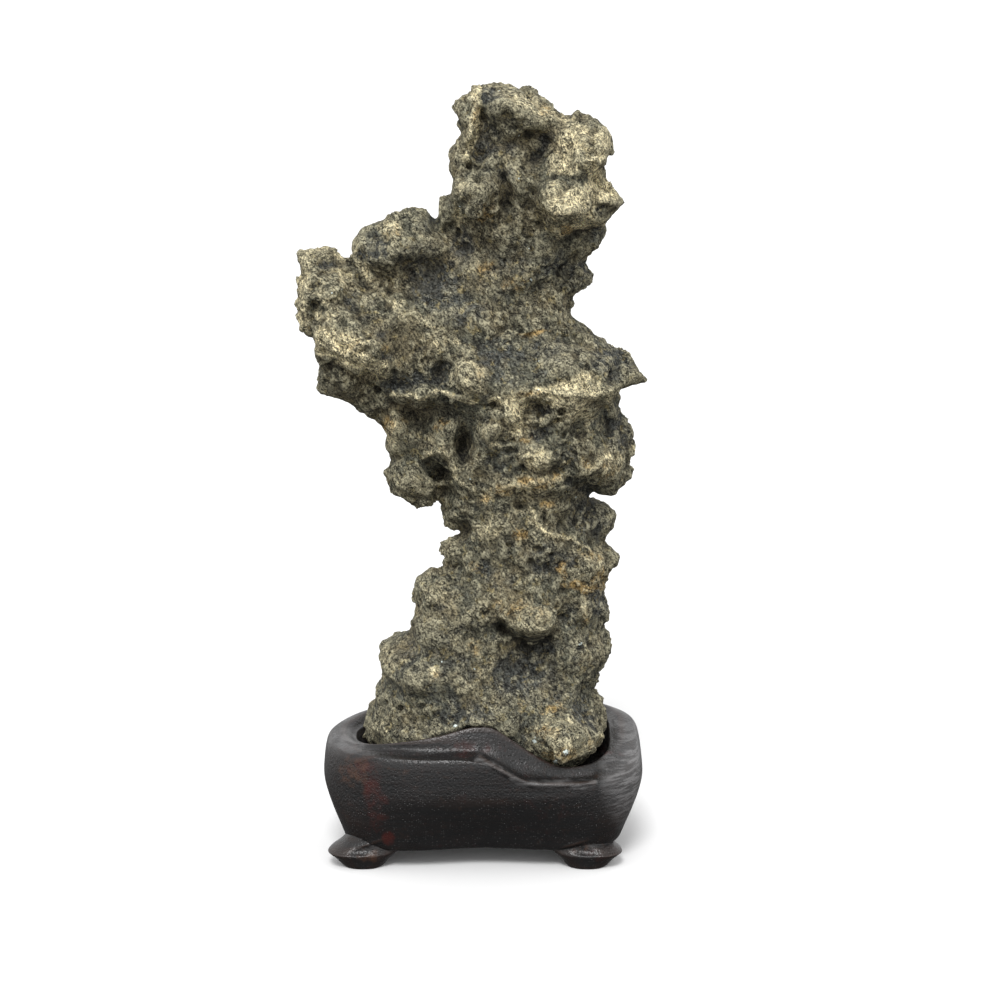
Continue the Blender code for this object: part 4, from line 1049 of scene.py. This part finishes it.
def paint_stand(mesh):
    places, normals = surface(mesh, MM)
    write_attribute(mesh, "red", painted(places, normals, RED_PATCHES))
    write_attribute(mesh, "worn_and_lit", painted(places, normals, WORN_AND_LIT_PATCHES))
    # The bead's painted highlight joins the painted reflection of the rims and the right wall.
    bead, half_width, _ = STAND_LINES[0]
    write_attribute(mesh, "painted_sheen", painted(places, normals, SHEEN_PATCHES, [(bead, half_width, BEAD_HIGHLIGHT)]))
    write_attribute(mesh, "edge", hollowness(mesh, STAND_SPREAD))


def dress(obj, material):
    obj.data.materials.clear()
    obj.data.materials.append(material)


# ---------------------------------------------------------------- stage, light and camera

FLOOR_SIZE = 30
FLOOR_COLOUR = (0.9, 0.9, 0.9, 1)
SKY = (-0.35, 0.0, 0.12, 1.0)  # heights of the low and high ends of the studio's glow, and its strength there
KEY_STRENGTH = 1.75
KEY_ANGLE = 20            # how wide the lamp looks, in degrees, which softens its shadows
KEY_DIRECTION = (0.1, 0.7, -0.95)  # the way its light travels


def build_floor():
    bm = bmesh.new()
    bmesh.ops.create_grid(bm, x_segments=1, y_segments=1, size=FLOOR_SIZE / 2)
    mesh = bpy.data.meshes.new("floor")
    bm.to_mesh(mesh)
    bm.free()
    floor = new_object("floor", mesh)
    material = bpy.data.materials.new("pale_floor")
    material.use_nodes = True
    surface = material.node_tree.nodes["Principled BSDF"]
    surface.inputs["Base Color"].default_value = FLOOR_COLOUR
    surface.inputs["Roughness"].default_value = 1
    surface.inputs["Specular IOR Level"].default_value = 0
    dress(floor, material)
    floor.visible_diffuse = False
    floor.visible_glossy = False


def build_lights():
    world = bpy.data.worlds.new("studio")
    world.use_nodes = True
    tree = world.node_tree
    way = tree.nodes.new("ShaderNodeSeparateXYZ")
    tree.links.new(tree.nodes.new("ShaderNodeTexCoord").outputs["Generated"], way.inputs[0])
    glow = tree.nodes.new("ShaderNodeMapRange")
    glow.interpolation_type = "SMOOTHSTEP"
    tree.links.new(way.outputs["Z"], glow.inputs["Value"])
    for name, value in zip(("From Min", "From Max", "To Min", "To Max"), SKY):
        glow.inputs[name].default_value = value
    tree.links.new(glow.outputs[0], tree.nodes["Background"].inputs["Strength"])
    tree.nodes["Background"].inputs["Color"].default_value = (1, 1, 1, 1)
    bpy.context.scene.world = world
    lamp = bpy.data.lights.new("key", "SUN")
    lamp.energy = KEY_STRENGTH
    lamp.angle = math.radians(KEY_ANGLE)
    key = bpy.data.objects.new("key", lamp)
    key.rotation_mode = "QUATERNION"
    key.rotation_quaternion = Vector(KEY_DIRECTION).to_track_quat("-Z", "Y")
    bpy.context.scene.collection.objects.link(key)


def build_camera():
    camera = bpy.data.objects.new("camera", bpy.data.cameras.new("camera"))
    camera.data.lens = LENS
    camera.data.sensor_width = SENSOR
    camera.location = Vector(np.array(SIGHT_TARGET) - SIGHT * SIGHT_DISTANCE) * MM
    camera.rotation_euler = (math.pi / 2 - SIGHT_ELEVATION, 0, 0)
    bpy.context.scene.collection.objects.link(camera)
    bpy.context.scene.camera = camera
    bpy.context.scene.view_settings.view_transform = "Standard"


# ---------------------------------------------------------------- the whole scene


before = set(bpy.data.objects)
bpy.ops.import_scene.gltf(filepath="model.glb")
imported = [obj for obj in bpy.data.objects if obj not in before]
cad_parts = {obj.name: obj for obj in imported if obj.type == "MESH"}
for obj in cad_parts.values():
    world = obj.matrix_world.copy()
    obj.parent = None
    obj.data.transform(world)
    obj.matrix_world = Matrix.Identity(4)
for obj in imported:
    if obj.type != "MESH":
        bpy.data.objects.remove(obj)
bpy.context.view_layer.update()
stand_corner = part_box("wooden_stand")[1] / MM
SHIFT = (stand_corner.x - STAND_CENTRE[0] - STAND_HALF[0], stand_corner.y - STAND_CENTRE[1] - STAND_HALF[1])

stand = build_stand(SHIFT)
paint_stand(stand.data)
dress(stand, wood_material())
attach(stand, "root")
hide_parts("wooden_stand")

rock = build_rock(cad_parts["rock"], SHIFT)
dress(rock, stone_material())
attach(rock, "root")
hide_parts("rock")

build_floor()
build_lights()
build_camera()
